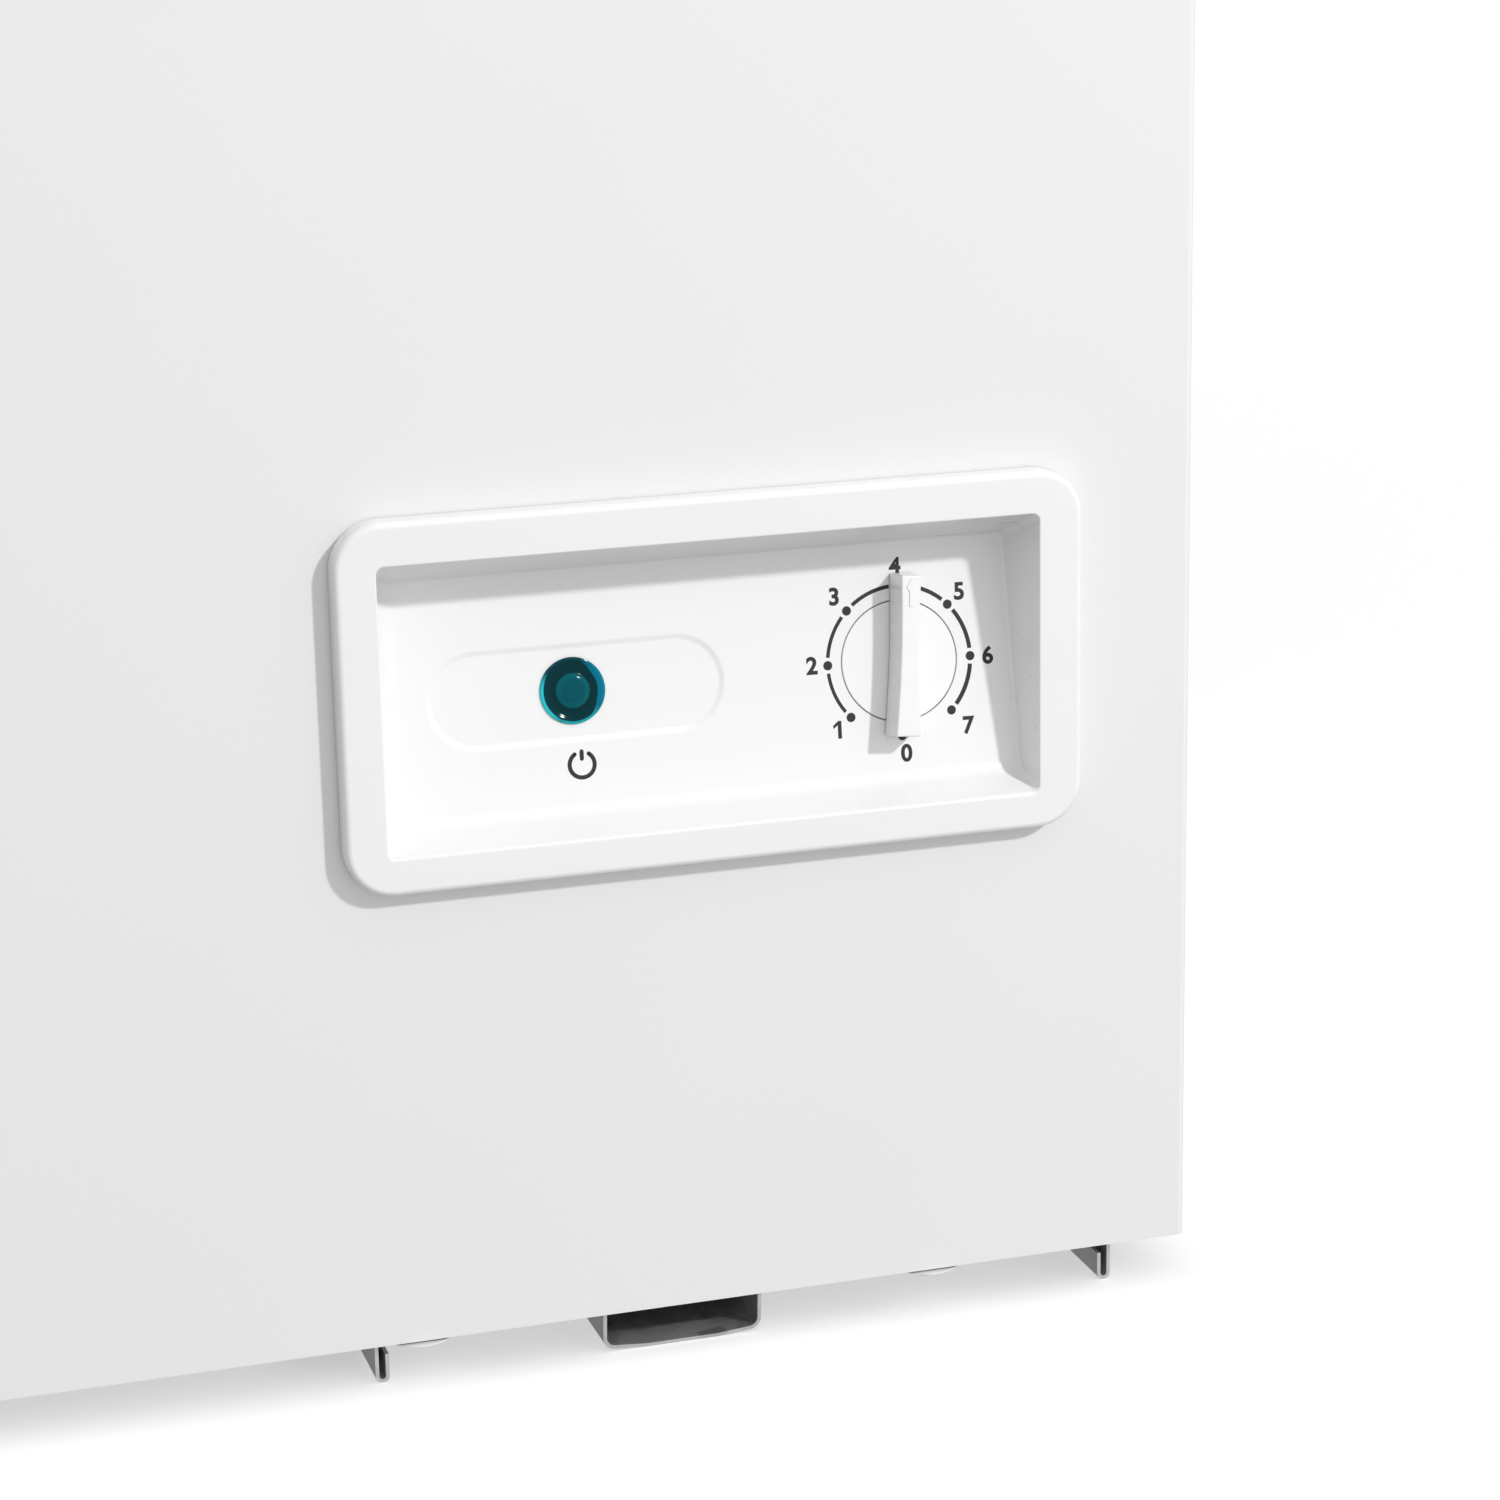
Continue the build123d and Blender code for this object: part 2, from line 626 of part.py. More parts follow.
def compressor_tray():
    """Tray under the bay: a plate, two hemmed flanges and a dropped open channel."""
    x0 = BAY_LEFT + TRAY_MARGIN
    x1 = HALF_W - FLANGE_RIGHT_GAP
    y0 = FRONT_Y + TRAY_FRONT_GAP
    y1 = BACK_Y - 2 * TRAY_FRONT_GAP
    plate = block(x0, x1, y0, y1, BASE_GAP - TRAY_SHEET, BASE_GAP)
    flanges = hemmed_flange(x0, 1, y0, y1) + hemmed_flange(x1, -1, y0, y1)
    front = Plane(origin=(CHANNEL_X, y1, 0), x_dir=(1, 0, 0), z_dir=(0, -1, 0))
    run = y1 - FRONT_Y - 2 * SHEET
    outer = extrude(front * channel_outline(0.0), run)
    inner = extrude(front * channel_outline(TRAY_SHEET), run + SHEET)
    rake = extrude(
        Plane(origin=(CHANNEL_X, 0, 0), x_dir=(0, 1, 0), z_dir=(1, 0, 0))
        * make_face(
            Polyline(
                (y1 - run - SHEET, -SHEET), (y1 - run + CHANNEL_RAKE, -SHEET), (y1 - run, BASE_GAP),
                (y1 - run - SHEET, BASE_GAP), close=True,
            )
        ),
        CHANNEL_WIDTH, both=True,
    )
    holes = [place * Cylinder(SCREW_HOLE_RADIUS, 6 * TRAY_SHEET) for place in tray_screw_places()]
    body = plate + flanges + outer - inner - rake - holes
    mounts = [Pos(x, y, BASE_GAP) * Cylinder(BOLT_RADIUS, 6 * TRAY_SHEET) for x, y in foot_points()]
    return body - mounts


def left_skid():
    """Plate with two hemmed flanges that carries the left of the cabinet."""
    x0 = -HALF_W + FLANGE_RIGHT_GAP
    x1 = x0 + SKID_WIDTH
    y0 = FRONT_Y + TRAY_FRONT_GAP
    y1 = BACK_Y - 2 * TRAY_FRONT_GAP
    plate = block(x0, x1, y0, y1, BASE_GAP - TRAY_SHEET, BASE_GAP)
    holes = [place * Cylinder(SCREW_HOLE_RADIUS, 6 * TRAY_SHEET) for place in skid_screw_places()]
    return plate + hemmed_flange(x0, 1, y0, y1) + hemmed_flange(x1, -1, y0, y1) - holes


def tray_screw_places():
    """Seats of the tray's front screws, facing down."""
    z = BASE_GAP - TRAY_SHEET
    return [
        Pos(HALF_W - gap, FRONT_Y + SCREW_INSET, z) * Rot(180, 0, 0) for gap in TRAY_SCREW_GAPS
    ]


def skid_screw_places():
    """Seats of the skid's screws, facing down."""
    x = -HALF_W + FLANGE_RIGHT_GAP + SKID_WIDTH / 2
    z = BASE_GAP - TRAY_SHEET
    ends = (FRONT_Y + SIDE_WALL, BACK_Y - SIDE_WALL)
    return [Pos(x, y, z) * Rot(180, 0, 0) for y in ends]


def base_screws():
    """Domed screws that hold the tray and the skid from below."""
    screws = []
    for place in tray_screw_places() + skid_screw_places():
        head = pan_head(SCREW_HEAD_RADIUS, SCREW_HEAD_HEIGHT)
        shank = Cylinder(
            SCREW_SHANK_RADIUS, TRAY_SHEET + SHEET, align=(Align.CENTER, Align.CENTER, Align.MAX)
        )
        screws.append(place * (head + shank))
    return screws


# ---------------------------------------------------------------- refrigeration
def foot_points():
    """Middles of the compressor's four mounting points."""
    half_x = FOOT_LENGTH / 2 - GROMMET_RADIUS - FOOT_MARGIN_X
    half_y = FOOT_DEPTH / 2 - GROMMET_RADIUS - FOOT_MARGIN_Y
    return [
        (COMPRESSOR_X + i * half_x, COMPRESSOR_Y + j * half_y) for i in (-1, 1) for j in (-1, 1)
    ]


def compressor_shell():
    """Hermetic steel pot with domed ends and a weld bead round its middle."""
    z0 = BASE_GAP + GROMMET_HEIGHT + FOOT_SHEET
    pot = Cylinder(
        COMPRESSOR_RADIUS, COMPRESSOR_HEIGHT, align=(Align.CENTER, Align.CENTER, Align.MIN)
    )
    top = pot.edges().group_by(Axis.Z)[-1]
    pot = fillet(top, POT_TOP_ROUNDING * COMPRESSOR_RADIUS)
    low = pot.edges().group_by(Axis.Z)[0]
    pot = fillet(low, POT_LOW_ROUNDING * COMPRESSOR_RADIUS)
    bead = Pos(0, 0, WELD_SHARE * COMPRESSOR_HEIGHT) * Cylinder(
        COMPRESSOR_RADIUS + WELD_PROUD, WELD_HEIGHT
    )
    return Pos(COMPRESSOR_X, COMPRESSOR_Y, z0) * (pot + bead)


def compressor_foot():
    """Flat foot plate under the pot, with a hole for each grommet."""
    z0 = BASE_GAP + GROMMET_HEIGHT
    half_x = FOOT_LENGTH / 2
    half_y = FOOT_DEPTH / 2
    plate = prism(
        COMPRESSOR_X - half_x, COMPRESSOR_X + half_x, COMPRESSOR_Y - half_y,
        COMPRESSOR_Y + half_y, z0, z0 + FOOT_SHEET, FOOT_CORNER,
    )
    bore = Cylinder(BOLT_RADIUS + BOLT_CLEARANCE, 6 * FOOT_SHEET)
    holes = [Pos(x, y, z0) * bore for x, y in foot_points()]
    return plate - holes


def compressor_grommets():
    """Rubber feet between the tray and the foot plate."""
    seat = Cylinder(GROMMET_RADIUS, GROMMET_HEIGHT, align=(Align.CENTER, Align.CENTER, Align.MIN))
    bore = Cylinder(BOLT_RADIUS + BORE_CLEARANCE, 3 * GROMMET_HEIGHT)
    groove = Pos(0, 0, GROMMET_HEIGHT / 2) * (
        Cylinder(2 * GROMMET_RADIUS, GROOVE_HEIGHT)
        - Cylinder(GROMMET_RADIUS - GROOVE_DEPTH, GROOVE_HEIGHT)
    )
    return [Pos(x, y, BASE_GAP) * (seat - bore - groove) for x, y in foot_points()]


def compressor_bolts():
    """Bolts up through the tray, the grommets and the foot plate."""
    length = GROMMET_HEIGHT + FOOT_SHEET + TRAY_SHEET
    shank = Pos(0, 0, -TRAY_SHEET) * Cylinder(
        BOLT_RADIUS - BOLT_SLACK, length, align=(Align.CENTER, Align.CENTER, Align.MIN)
    )
    nut = Pos(0, 0, GROMMET_HEIGHT + FOOT_SHEET) * extrude(
        RegularPolygon(NUT_RADIUS, 6), NUT_HEIGHT
    )
    head = Pos(0, 0, -TRAY_SHEET) * Cylinder(
        2 * BOLT_RADIUS, BOLT_HEAD, align=(Align.CENTER, Align.CENTER, Align.MAX)
    )
    return [Pos(x, y, BASE_GAP) * (shank + nut + head) for x, y in foot_points()]


def terminal_cover():
    """Moulded cover over the compressor's relay and terminals, on its front side."""
    z0 = BASE_GAP + GROMMET_HEIGHT + FOOT_SHEET + TERMINAL_SHARE * COMPRESSOR_HEIGHT
    y1 = COMPRESSOR_Y - COMPRESSOR_RADIUS + TERMINAL_LAP
    half = TERMINAL_WIDTH / 2
    box = block(
        COMPRESSOR_X - half, COMPRESSOR_X + half, y1 - TERMINAL_DEPTH - TERMINAL_LAP, y1,
        z0, z0 + TERMINAL_HEIGHT,
    )
    box = fillet(box.edges().filter_by(Axis.Z).group_by(Axis.Y)[0], TERMINAL_CORNER)
    pot = Pos(COMPRESSOR_X, COMPRESSOR_Y, z0) * Cylinder(
        COMPRESSOR_RADIUS + WELD_PROUD + SEAM_GAP, 2 * COMPRESSOR_HEIGHT
    )
    return box - pot


def suction_pipe():
    """Wide copper pipe from the pot up and over to the bay's wall."""
    x = COMPRESSOR_X - COMPRESSOR_RADIUS
    z = BASE_GAP + GROMMET_HEIGHT + FOOT_SHEET + PIPE_SHARE * COMPRESSOR_HEIGHT
    y = COMPRESSOR_Y
    out_x = x - SUCTION_OUT
    back_y = y + SUCTION_BACK
    high = BAY_TOP - SUCTION_DROP
    points = [
        (x, y, z), (out_x, y, z), (out_x, y, high), (out_x, back_y, high),
        (BAY_LEFT + SHEET, back_y, high),
    ]
    return tube(points, PIPE_BEND, SUCTION_RADIUS)


def discharge_pipe():
    """Thin copper pipe from the pot to the condenser."""
    x = COMPRESSOR_X + COMPRESSOR_RADIUS
    z = BASE_GAP + GROMMET_HEIGHT + FOOT_SHEET + PIPE_SHARE * COMPRESSOR_HEIGHT
    y = COMPRESSOR_Y
    out_x = x + DISCHARGE_OUT
    front_y = y - DISCHARGE_AHEAD
    high = BAY_TOP - DISCHARGE_DROP
    points = [
        (x, y, z), (out_x, y, z), (out_x, y, high), (out_x, front_y, high),
        (BAY_LEFT + SHEET, front_y, high),
    ]
    return tube(points, PIPE_BEND, DISCHARGE_RADIUS)


def drier_place():
    """Bottom of the filter drier, which stands by the bay's wall."""
    return Pos(BAY_LEFT + DRIER_OUT, COMPRESSOR_Y - DRIER_AHEAD, BASE_GAP + BAY_HEIGHT / 3)


def filter_drier():
    """Copper filter drier with necked ends."""
    body = Cylinder(DRIER_RADIUS, DRIER_LENGTH, align=(Align.CENTER, Align.CENTER, Align.MIN))
    body = fillet(body.edges().filter_by(GeomType.CIRCLE), END_ROUNDING * DRIER_RADIUS)
    neck = Pos(0, 0, -DRIER_NECK) * Cylinder(
        DISCHARGE_RADIUS, DRIER_LENGTH + 2 * DRIER_NECK, align=(Align.CENTER, Align.CENTER, Align.MIN)
    )
    return drier_place() * (body + neck)


# ---------------------------------------------------------------- control panel
def recess_cutter(grow, front_extra):
    """Solid of the recess: a drafted pocket with a leaning floor, grown by a wall."""
    half_w = OPENING_HALF_W + grow
    half_h = OPENING_HALF_H + grow
    slope = math.tan(math.radians(RECESS_TILT))
    side = math.tan(math.radians(RECESS_SIDE_DRAFT))
    top = math.tan(math.radians(RECESS_TOP_DRAFT))
    low = math.tan(math.radians(RECESS_BOTTOM_DRAFT))
    mid = RECESS_MID_DEPTH + grow
    # Heights where the drafted top and bottom walls meet the leaning floor.
    top_z = (half_h - mid * top) / (1 + slope * top)
    low_z = -(half_h - mid * low) / (1 - slope * low)
    front = Plane(origin=(BEZEL_X, BEZEL_FACE, BEZEL_Z), x_dir=(1, 0, 0), z_dir=(0, -1, 0))

    def corner(sign_x, z):
        depth = mid + z * slope
        return front.from_local_coords(Vector(sign_x * (half_w - depth * side), z, -depth))

    back_points = [corner(-1, low_z), corner(1, low_z), corner(1, top_z), corner(-1, top_z)]
    back = make_face(Polyline(*back_points, close=True))
    mouth = front * Rectangle(2 * half_w, 2 * half_h)
    pocket = loft([mouth, back], ruled=True)
    if front_extra:
        pocket = pocket + extrude(mouth, front_extra)
    return pocket


def control_bezel():
    """Moulded frame with its leaning recessed dial plate, in one piece."""
    frame = front_box(BEZEL_WIDTH / 2, BEZEL_HEIGHT / 2, BEZEL_PROUD, BEZEL_CORNER)
    face_edges = frame.faces().sort_by(Axis.Y)[0].edges()
    frame = fillet(face_edges, BEZEL_EDGE)
    shell = recess_cutter(BEZEL_WALL, 0.0)
    body = frame + shell
    boss = on_floor(DIAL_U, CONTROL_V, -BOSS_DEPTH / 2) * Cylinder(BOSS_RADIUS, BOSS_DEPTH)
    body = body + boss - recess_cutter(0.0, BEZEL_PROUD)
    dimple = on_floor(LAMP_U, CONTROL_V) * extrude(
        SlotOverall(DIMPLE_LENGTH, DIMPLE_WIDTH), DIMPLE_DEPTH, both=True
    )
    lamp_hole = on_floor(LAMP_U, CONTROL_V) * Cylinder(
        LENS_STEM_RADIUS + LENS_CLEARANCE, 6 * BEZEL_WALL
    )
    pocket = on_floor(DIAL_U, CONTROL_V) * Cylinder(
        KNOB_RADIUS + KNOB_GAP, 2 * (KNOB_DISC + KNOB_GAP)
    )
    shaft_hole = on_floor(DIAL_U, CONTROL_V) * Cylinder(
        SHAFT_RADIUS + SHAFT_HOLE_CLEARANCE, 4 * BOSS_DEPTH
    )
    return body - dimple - lamp_hole - pocket - shaft_hole


def front_box(half_w, half_h, proud, corner):
    """A rounded plate on the front panel, centred on the control panel."""
    face = Plane(origin=(BEZEL_X, FRONT_Y, BEZEL_Z), x_dir=(1, 0, 0), z_dir=(0, -1, 0))
    return extrude(face * RectangleRounded(2 * half_w, 2 * half_h, corner), proud)


def lamp_lens():
    """Clear domed lens with a stem that passes through the dial plate."""
    head = Cylinder(LENS_RADIUS, LENS_HEIGHT, align=(Align.CENTER, Align.CENTER, Align.MIN))
    head = fillet(head.edges().group_by(Axis.Z)[-1], LENS_ROUNDING * LENS_HEIGHT)
    stem = Cylinder(
        LENS_STEM_RADIUS, LENS_STEM_LENGTH, align=(Align.CENTER, Align.CENTER, Align.MAX)
    )
    bore = Pos(0, 0, -LENS_STEM_LENGTH) * Cylinder(
        LENS_STEM_RADIUS - LENS_WALL, LENS_STEM_LENGTH, align=(Align.CENTER, Align.CENTER, Align.MIN)
    )
    return on_floor(LAMP_U, CONTROL_V, -DIMPLE_DEPTH) * (head + stem - bore)


def lamp_holder():
    """Plug-in holder on the back of the dial plate, with the bulb inside the lens."""
    start = -DIMPLE_DEPTH - LENS_STEM_LENGTH
    body = Pos(0, 0, start - HOLDER_DEPTH / 2) * Box(HOLDER_WIDTH, HOLDER_HEIGHT, HOLDER_DEPTH)
    bulb = Pos(0, 0, start + BULB_LENGTH / 2) * Cylinder(
        LENS_STEM_RADIUS - LENS_WALL - BULB_GAP, BULB_LENGTH
    )
    return on_floor(LAMP_U, CONTROL_V) * (body + bulb)


def knob():
    """Flush disc with a long narrow grip, its pointer a little past straight up."""
    disc = Pos(0, 0, -KNOB_DISC / 2) * Cylinder(KNOB_RADIUS, KNOB_DISC)
    foot = grip_outline(GRIP_DRAFT)
    top = grip_outline(0.0)
    grip = loft([Pos(0, 0, GRIP_LIFT) * foot, Pos(0, 0, GRIP_HEIGHT) * top], ruled=True)
    neck = Pos(0, 0, -KNOB_DISC / 2) * extrude(
        Rectangle(GRIP_WIDTH_POINTER, NECK_LENGTH), KNOB_DISC / 2 + 3 * GRIP_LIFT
    )
    turn = Rot(0, 0, -KNOB_REST_TURN)
    return on_floor(DIAL_U, CONTROL_V) * turn * (disc + grip + neck)


def grip_outline(grow):
    """Outline of the grip: narrower at the pointer than at the tail."""
    half_tip = GRIP_WIDTH_POINTER / 2 + grow
    half_tail = GRIP_WIDTH_TAIL / 2 + grow
    up = GRIP_POINTER
    down = -GRIP_TAIL
    return make_face(
        Polyline((-half_tail, down), (half_tail, down), (half_tip, up), (-half_tip, up), close=True)
    )


def thermostat_shaft():
    """Flatted shaft that the knob turns."""
    length = BOSS_DEPTH - KNOB_DISC + THERMOSTAT_DEPTH / 2
    shaft = Cylinder(SHAFT_RADIUS, length, align=(Align.CENTER, Align.CENTER, Align.MAX))
    return on_floor(DIAL_U, CONTROL_V, -KNOB_DISC) * shaft


def thermostat_body():
    """Thermostat on the back of the dial plate, with a bore for the shaft."""
    middle = -BOSS_DEPTH - THERMOSTAT_DEPTH / 2
    case = Pos(0, 0, middle) * Box(THERMOSTAT_WIDTH, THERMOSTAT_HEIGHT, THERMOSTAT_DEPTH)
    bore_depth = THERMOSTAT_DEPTH / 2 + 3 * KNOB_GAP
    bore = Pos(0, 0, -BOSS_DEPTH) * Cylinder(
        SHAFT_RADIUS + SHAFT_CLEARANCE, bore_depth, align=(Align.CENTER, Align.CENTER, Align.MAX)
    )
    return on_floor(DIAL_U, CONTROL_V) * (case - bore)


def behind_thermostat(u, depth):
    """A point behind the thermostat, on a line along the dial plate's normal."""
    height = -BOSS_DEPTH - THERMOSTAT_DEPTH - depth
    return tuple(on_floor(DIAL_U + u, CONTROL_V, height).position)


def bulb_tube():
    """Thin sensing tube from the thermostat to the bay's wall."""
    start = behind_thermostat(-THERMOSTAT_WIDTH / 4, 0.0)
    x, y, z = behind_thermostat(-THERMOSTAT_WIDTH / 4, 3 * BULB_TUBE_BEND)
    high = BAY_TOP - 4 * BULB_TUBE_BEND
    points = [start, (x, y, z), (x, y, high), (BAY_LEFT + SHEET, y, high)]
    return tube(points, BULB_TUBE_BEND, BULB_TUBE_RADIUS)


def wire_harness():
    """Sheathed wires from the compressor's terminals to the thermostat."""
    x0 = COMPRESSOR_X + TERMINAL_WIDTH / 4
    y0 = COMPRESSOR_Y - COMPRESSOR_RADIUS - TERMINAL_DEPTH
    low = BASE_GAP + GROMMET_HEIGHT + FOOT_SHEET + TERMINAL_SHARE * COMPRESSOR_HEIGHT
    z0 = low + TERMINAL_HEIGHT / 2
    start = behind_thermostat(THERMOSTAT_WIDTH / 4, 0.0)
    x1, y1, z1 = behind_thermostat(THERMOSTAT_WIDTH / 4, 4 * HARNESS_BEND)
    points = [start, (x1, y1, z1), (x0, y0 - 3 * HARNESS_BEND, z0), (x0, y0, z0)]
    return tube(points, HARNESS_BEND, HARNESS_RADIUS)


# ---------------------------------------------------------------- drain
def drain_path():
    """Centre line of the drain: down through the floor, then out to the front."""
    low = BASE_GAP + DRAIN_HEIGHT
    return [
        (DRAIN_X, DRAIN_Y, CABIN_FLOOR), (DRAIN_X, DRAIN_Y, low),
        (DRAIN_X, FRONT_Y - SPOUT_OUT, low),
    ]


def drain_space():
    """Room that the drain takes in the foam."""
    return tube(drain_path(), DRAIN_BEND, DRAIN_BORE + DRAIN_WALL)


def spout_clearance():
    """Hole in the front panel round the drain's spout."""
    spout_z = drain_path()[-1][2]
    return Pos(DRAIN_X, FRONT_Y, spout_z) * Rot(90, 0, 0) * Cylinder(
        DRAIN_BORE + DRAIN_WALL, SPOUT_OUT
    )


def drain_tube():
    """Plastic drain tube from the cabin's floor to a spout on the front."""
    return drain_space() - tube(drain_path(), DRAIN_BEND, DRAIN_BORE)


def drain_plug():
    """Rubber plug that sits in the floor's drain hole."""
    stem = Cylinder(
        DRAIN_BORE - DRAIN_GAP, PLUG_LENGTH, align=(Align.CENTER, Align.CENTER, Align.MAX)
    )
    flange = Pos(0, 0, DRAIN_GAP) * Cylinder(
        PLUG_FLANGE_RADIUS, PLUG_FLANGE, align=(Align.CENTER, Align.CENTER, Align.MIN)
    )
    neck = Cylinder(
        DRAIN_BORE - DRAIN_GAP, DRAIN_GAP, align=(Align.CENTER, Align.CENTER, Align.MIN)
    )
    tab = Pos(0, 0, PLUG_FLANGE + PLUG_TAB / 2) * Box(PLUG_FLANGE_RADIUS, PLUG_TAB_SHEET, PLUG_TAB)
    return Pos(DRAIN_X, DRAIN_Y, CABIN_FLOOR) * (stem + flange + neck + tab)


def drain_cap():
    """Cap that closes the spout on the front."""
    spout_z = drain_path()[-1][2]
    bore_radius = DRAIN_BORE + DRAIN_WALL + DRAIN_GAP
    depth = SPOUT_OUT + DRAIN_GAP
    cap = Cylinder(
        bore_radius + CAP_WALL, depth + CAP_WALL - DRAIN_GAP,
        align=(Align.CENTER, Align.CENTER, Align.MIN),
    )
    bore = Cylinder(bore_radius, depth - DRAIN_GAP, align=(Align.CENTER, Align.CENTER, Align.MIN))
    place = Pos(DRAIN_X, FRONT_Y - 2 * DRAIN_GAP, spout_z) * Rot(90, 0, 0)
    return place * (cap - bore)


# ---------------------------------------------------------------- lid
def lid_skin():
    """Painted outer pan of the lid."""
    outer = prism(
        -LID_HALF_W, LID_HALF_W, LID_FRONT, LID_BACK, LID_BOTTOM, LID_TOP, LID_CORNER
    )
    outer = fillet(outer.edges().group_by(Axis.Z)[-1], LID_EDGE)
    inner = prism(
        -LID_HALF_W + LID_SKIN, LID_HALF_W - LID_SKIN, LID_FRONT + LID_SKIN,
        LID_BACK - LID_SKIN, LID_BOTTOM, LID_TOP - LID_SKIN, LID_CORNER - LID_SKIN,
    )
    inner = fillet(inner.edges().group_by(Axis.Z)[-1], LID_EDGE - LID_SKIN)
    return outer - inner


def lid_foam():
    """Foam that fills the lid between its skin and its liner."""
    core = prism(
        -LID_HALF_W + LID_SKIN, LID_HALF_W - LID_SKIN, LID_FRONT + LID_SKIN,
        LID_BACK - LID_SKIN, LID_BOTTOM + LID_PLATE, LID_TOP - LID_SKIN, LID_CORNER - LID_SKIN,
    )
    return fillet(core.edges().group_by(Axis.Z)[-1], LID_EDGE - LID_SKIN)


def lid_liner():
    """Inner plate of the lid, with a shallow plug over the cabin."""
    plate = prism(
        -LID_HALF_W + LID_SKIN, LID_HALF_W - LID_SKIN, LID_FRONT + LID_SKIN,
        LID_BACK - LID_SKIN, LID_BOTTOM, LID_BOTTOM + LID_PLATE, LID_CORNER - LID_SKIN,
    )
    plug = prism(
        -CABIN_X + LID_PLUG_INSET, CABIN_X - LID_PLUG_INSET, CABIN_FRONT + LID_PLUG_INSET,
        CABIN_BACK - LID_PLUG_INSET, LID_BOTTOM - LID_PLUG, LID_BOTTOM, CABIN_CORNER,
    )
    plug = chamfer(plug.edges().group_by(Axis.Z)[0], LID_PLUG - LID_PLATE)
    return plate + plug


def lid_gasket():
    """Magnetic seal round the lid's underside, over the middle of the rim."""
    grow = LEDGE_WIDTH + GASKET_WIDTH + COLLAR_PLATE
    outer = prism(
        -CABIN_X - grow, CABIN_X + grow, CABIN_FRONT - grow, CABIN_BACK + grow,
        RIM_HEIGHT + SEAL_GAP, LID_BOTTOM, GASKET_WIDTH + GASKET_CORNER,
    )
    hole_grow = grow - GASKET_WIDTH
    inner = prism(
        -CABIN_X - hole_grow, CABIN_X + hole_grow, CABIN_FRONT - hole_grow,
        CABIN_BACK + hole_grow, RIM_HEIGHT, LID_BOTTOM + SEAL_GAP, GASKET_CORNER,
    )
    return outer - inner


def handle_middle():
    """Height of the middle of the lid's handle."""
    return (LID_BOTTOM + LID_TOP) / 2


def lid_handle():
    """Grip on the front of the lid, open below for the fingers."""
    z = handle_middle()
    half = HANDLE_LENGTH / 2
    out_y = LID_FRONT - HANDLE_OUT
    body = block(
        -half, half, out_y, LID_FRONT, z - HANDLE_HEIGHT / 2, z + HANDLE_HEIGHT / 2
    )
    body = fillet(body.edges().group_by(Axis.Y)[0], HANDLE_EDGE)
    hollow = block(
        -half + 2 * HANDLE_WALL, half - 2 * HANDLE_WALL, out_y + HANDLE_WALL,
        LID_FRONT - HANDLE_WALL, z - HANDLE_HEIGHT, z + HANDLE_HEIGHT / 2 - HANDLE_WALL,
    )
    holes = [place * Cylinder(SMALL_HOLE_RADIUS, 3 * HANDLE_WALL) for place in handle_screw_places()]
    return body - hollow - holes


def handle_screw_places():
    """Seats of the handle's screws on its back plate, facing forward."""
    reach = HANDLE_LENGTH / 2 - HANDLE_SCREW_INSET
    return [
        Pos(x, LID_FRONT - HANDLE_WALL, handle_middle()) * Rot(90, 0, 0) for x in (-reach, reach)
    ]


def handle_screws():
    """Two screws that hold the handle on the lid."""
    return [place * small_screw(HANDLE_WALL) for place in handle_screw_places()]


# ---------------------------------------------------------------- hinges
def ear(x0, x1, reach_y, z_end):
    """A rounded hinge ear round the pin's axis, joined to a leaf at reach_y."""
    disc = Pos((x0 + x1) / 2, HINGE_Y, HINGE_Z) * Rot(0, 90, 0) * Cylinder(EAR_RADIUS, x1 - x0)
    z0 = min(HINGE_Z, z_end)
    z1 = max(HINGE_Z, z_end)
    web = block(x0, x1, reach_y, HINGE_Y + EAR_RADIUS, z0, z1)
    far = web.edges().filter_by(Axis.X).sort_by(Axis.Y)[-2:]
    end_edge = far.sort_by(Axis.Z)[0 if z_end < HINGE_Z else -1]
    return disc + chamfer(end_edge, EAR_RADIUS)


def pin_bore(x_mid, radius):
    """Cylinder on the hinge axis, wider than a hinge."""
    return Pos(x_mid, HINGE_Y, HINGE_Z) * Rot(0, 90, 0) * Cylinder(radius, 2 * HINGE_WIDTH)


def hinge_bases():
    """Leaves on the cabinet's back, each with two ears."""
    shapes = []
    half = HINGE_WIDTH / 2
    top = HINGE_Z - EAR_RADIUS
    for x in (-HINGE_X, HINGE_X):
        leaf = block(
            x - half, x + half, BACK_Y, BACK_Y + EAR_SHEET, top - HINGE_BASE_HEIGHT, top
        )
        low = top - HINGE_BASE_HEIGHT / 2
        ears = ear(x - half, x - half + EAR_SHEET, BACK_Y, low)
        ears = ears + ear(x + half - EAR_SHEET, x + half, BACK_Y, low)
        holes = [place * Cylinder(SMALL_HOLE_RADIUS, 3 * EAR_SHEET) for place in base_screw_places(x)]
        shapes.append(leaf + ears - pin_bore(x, PIN_RADIUS) - holes)
    return shapes


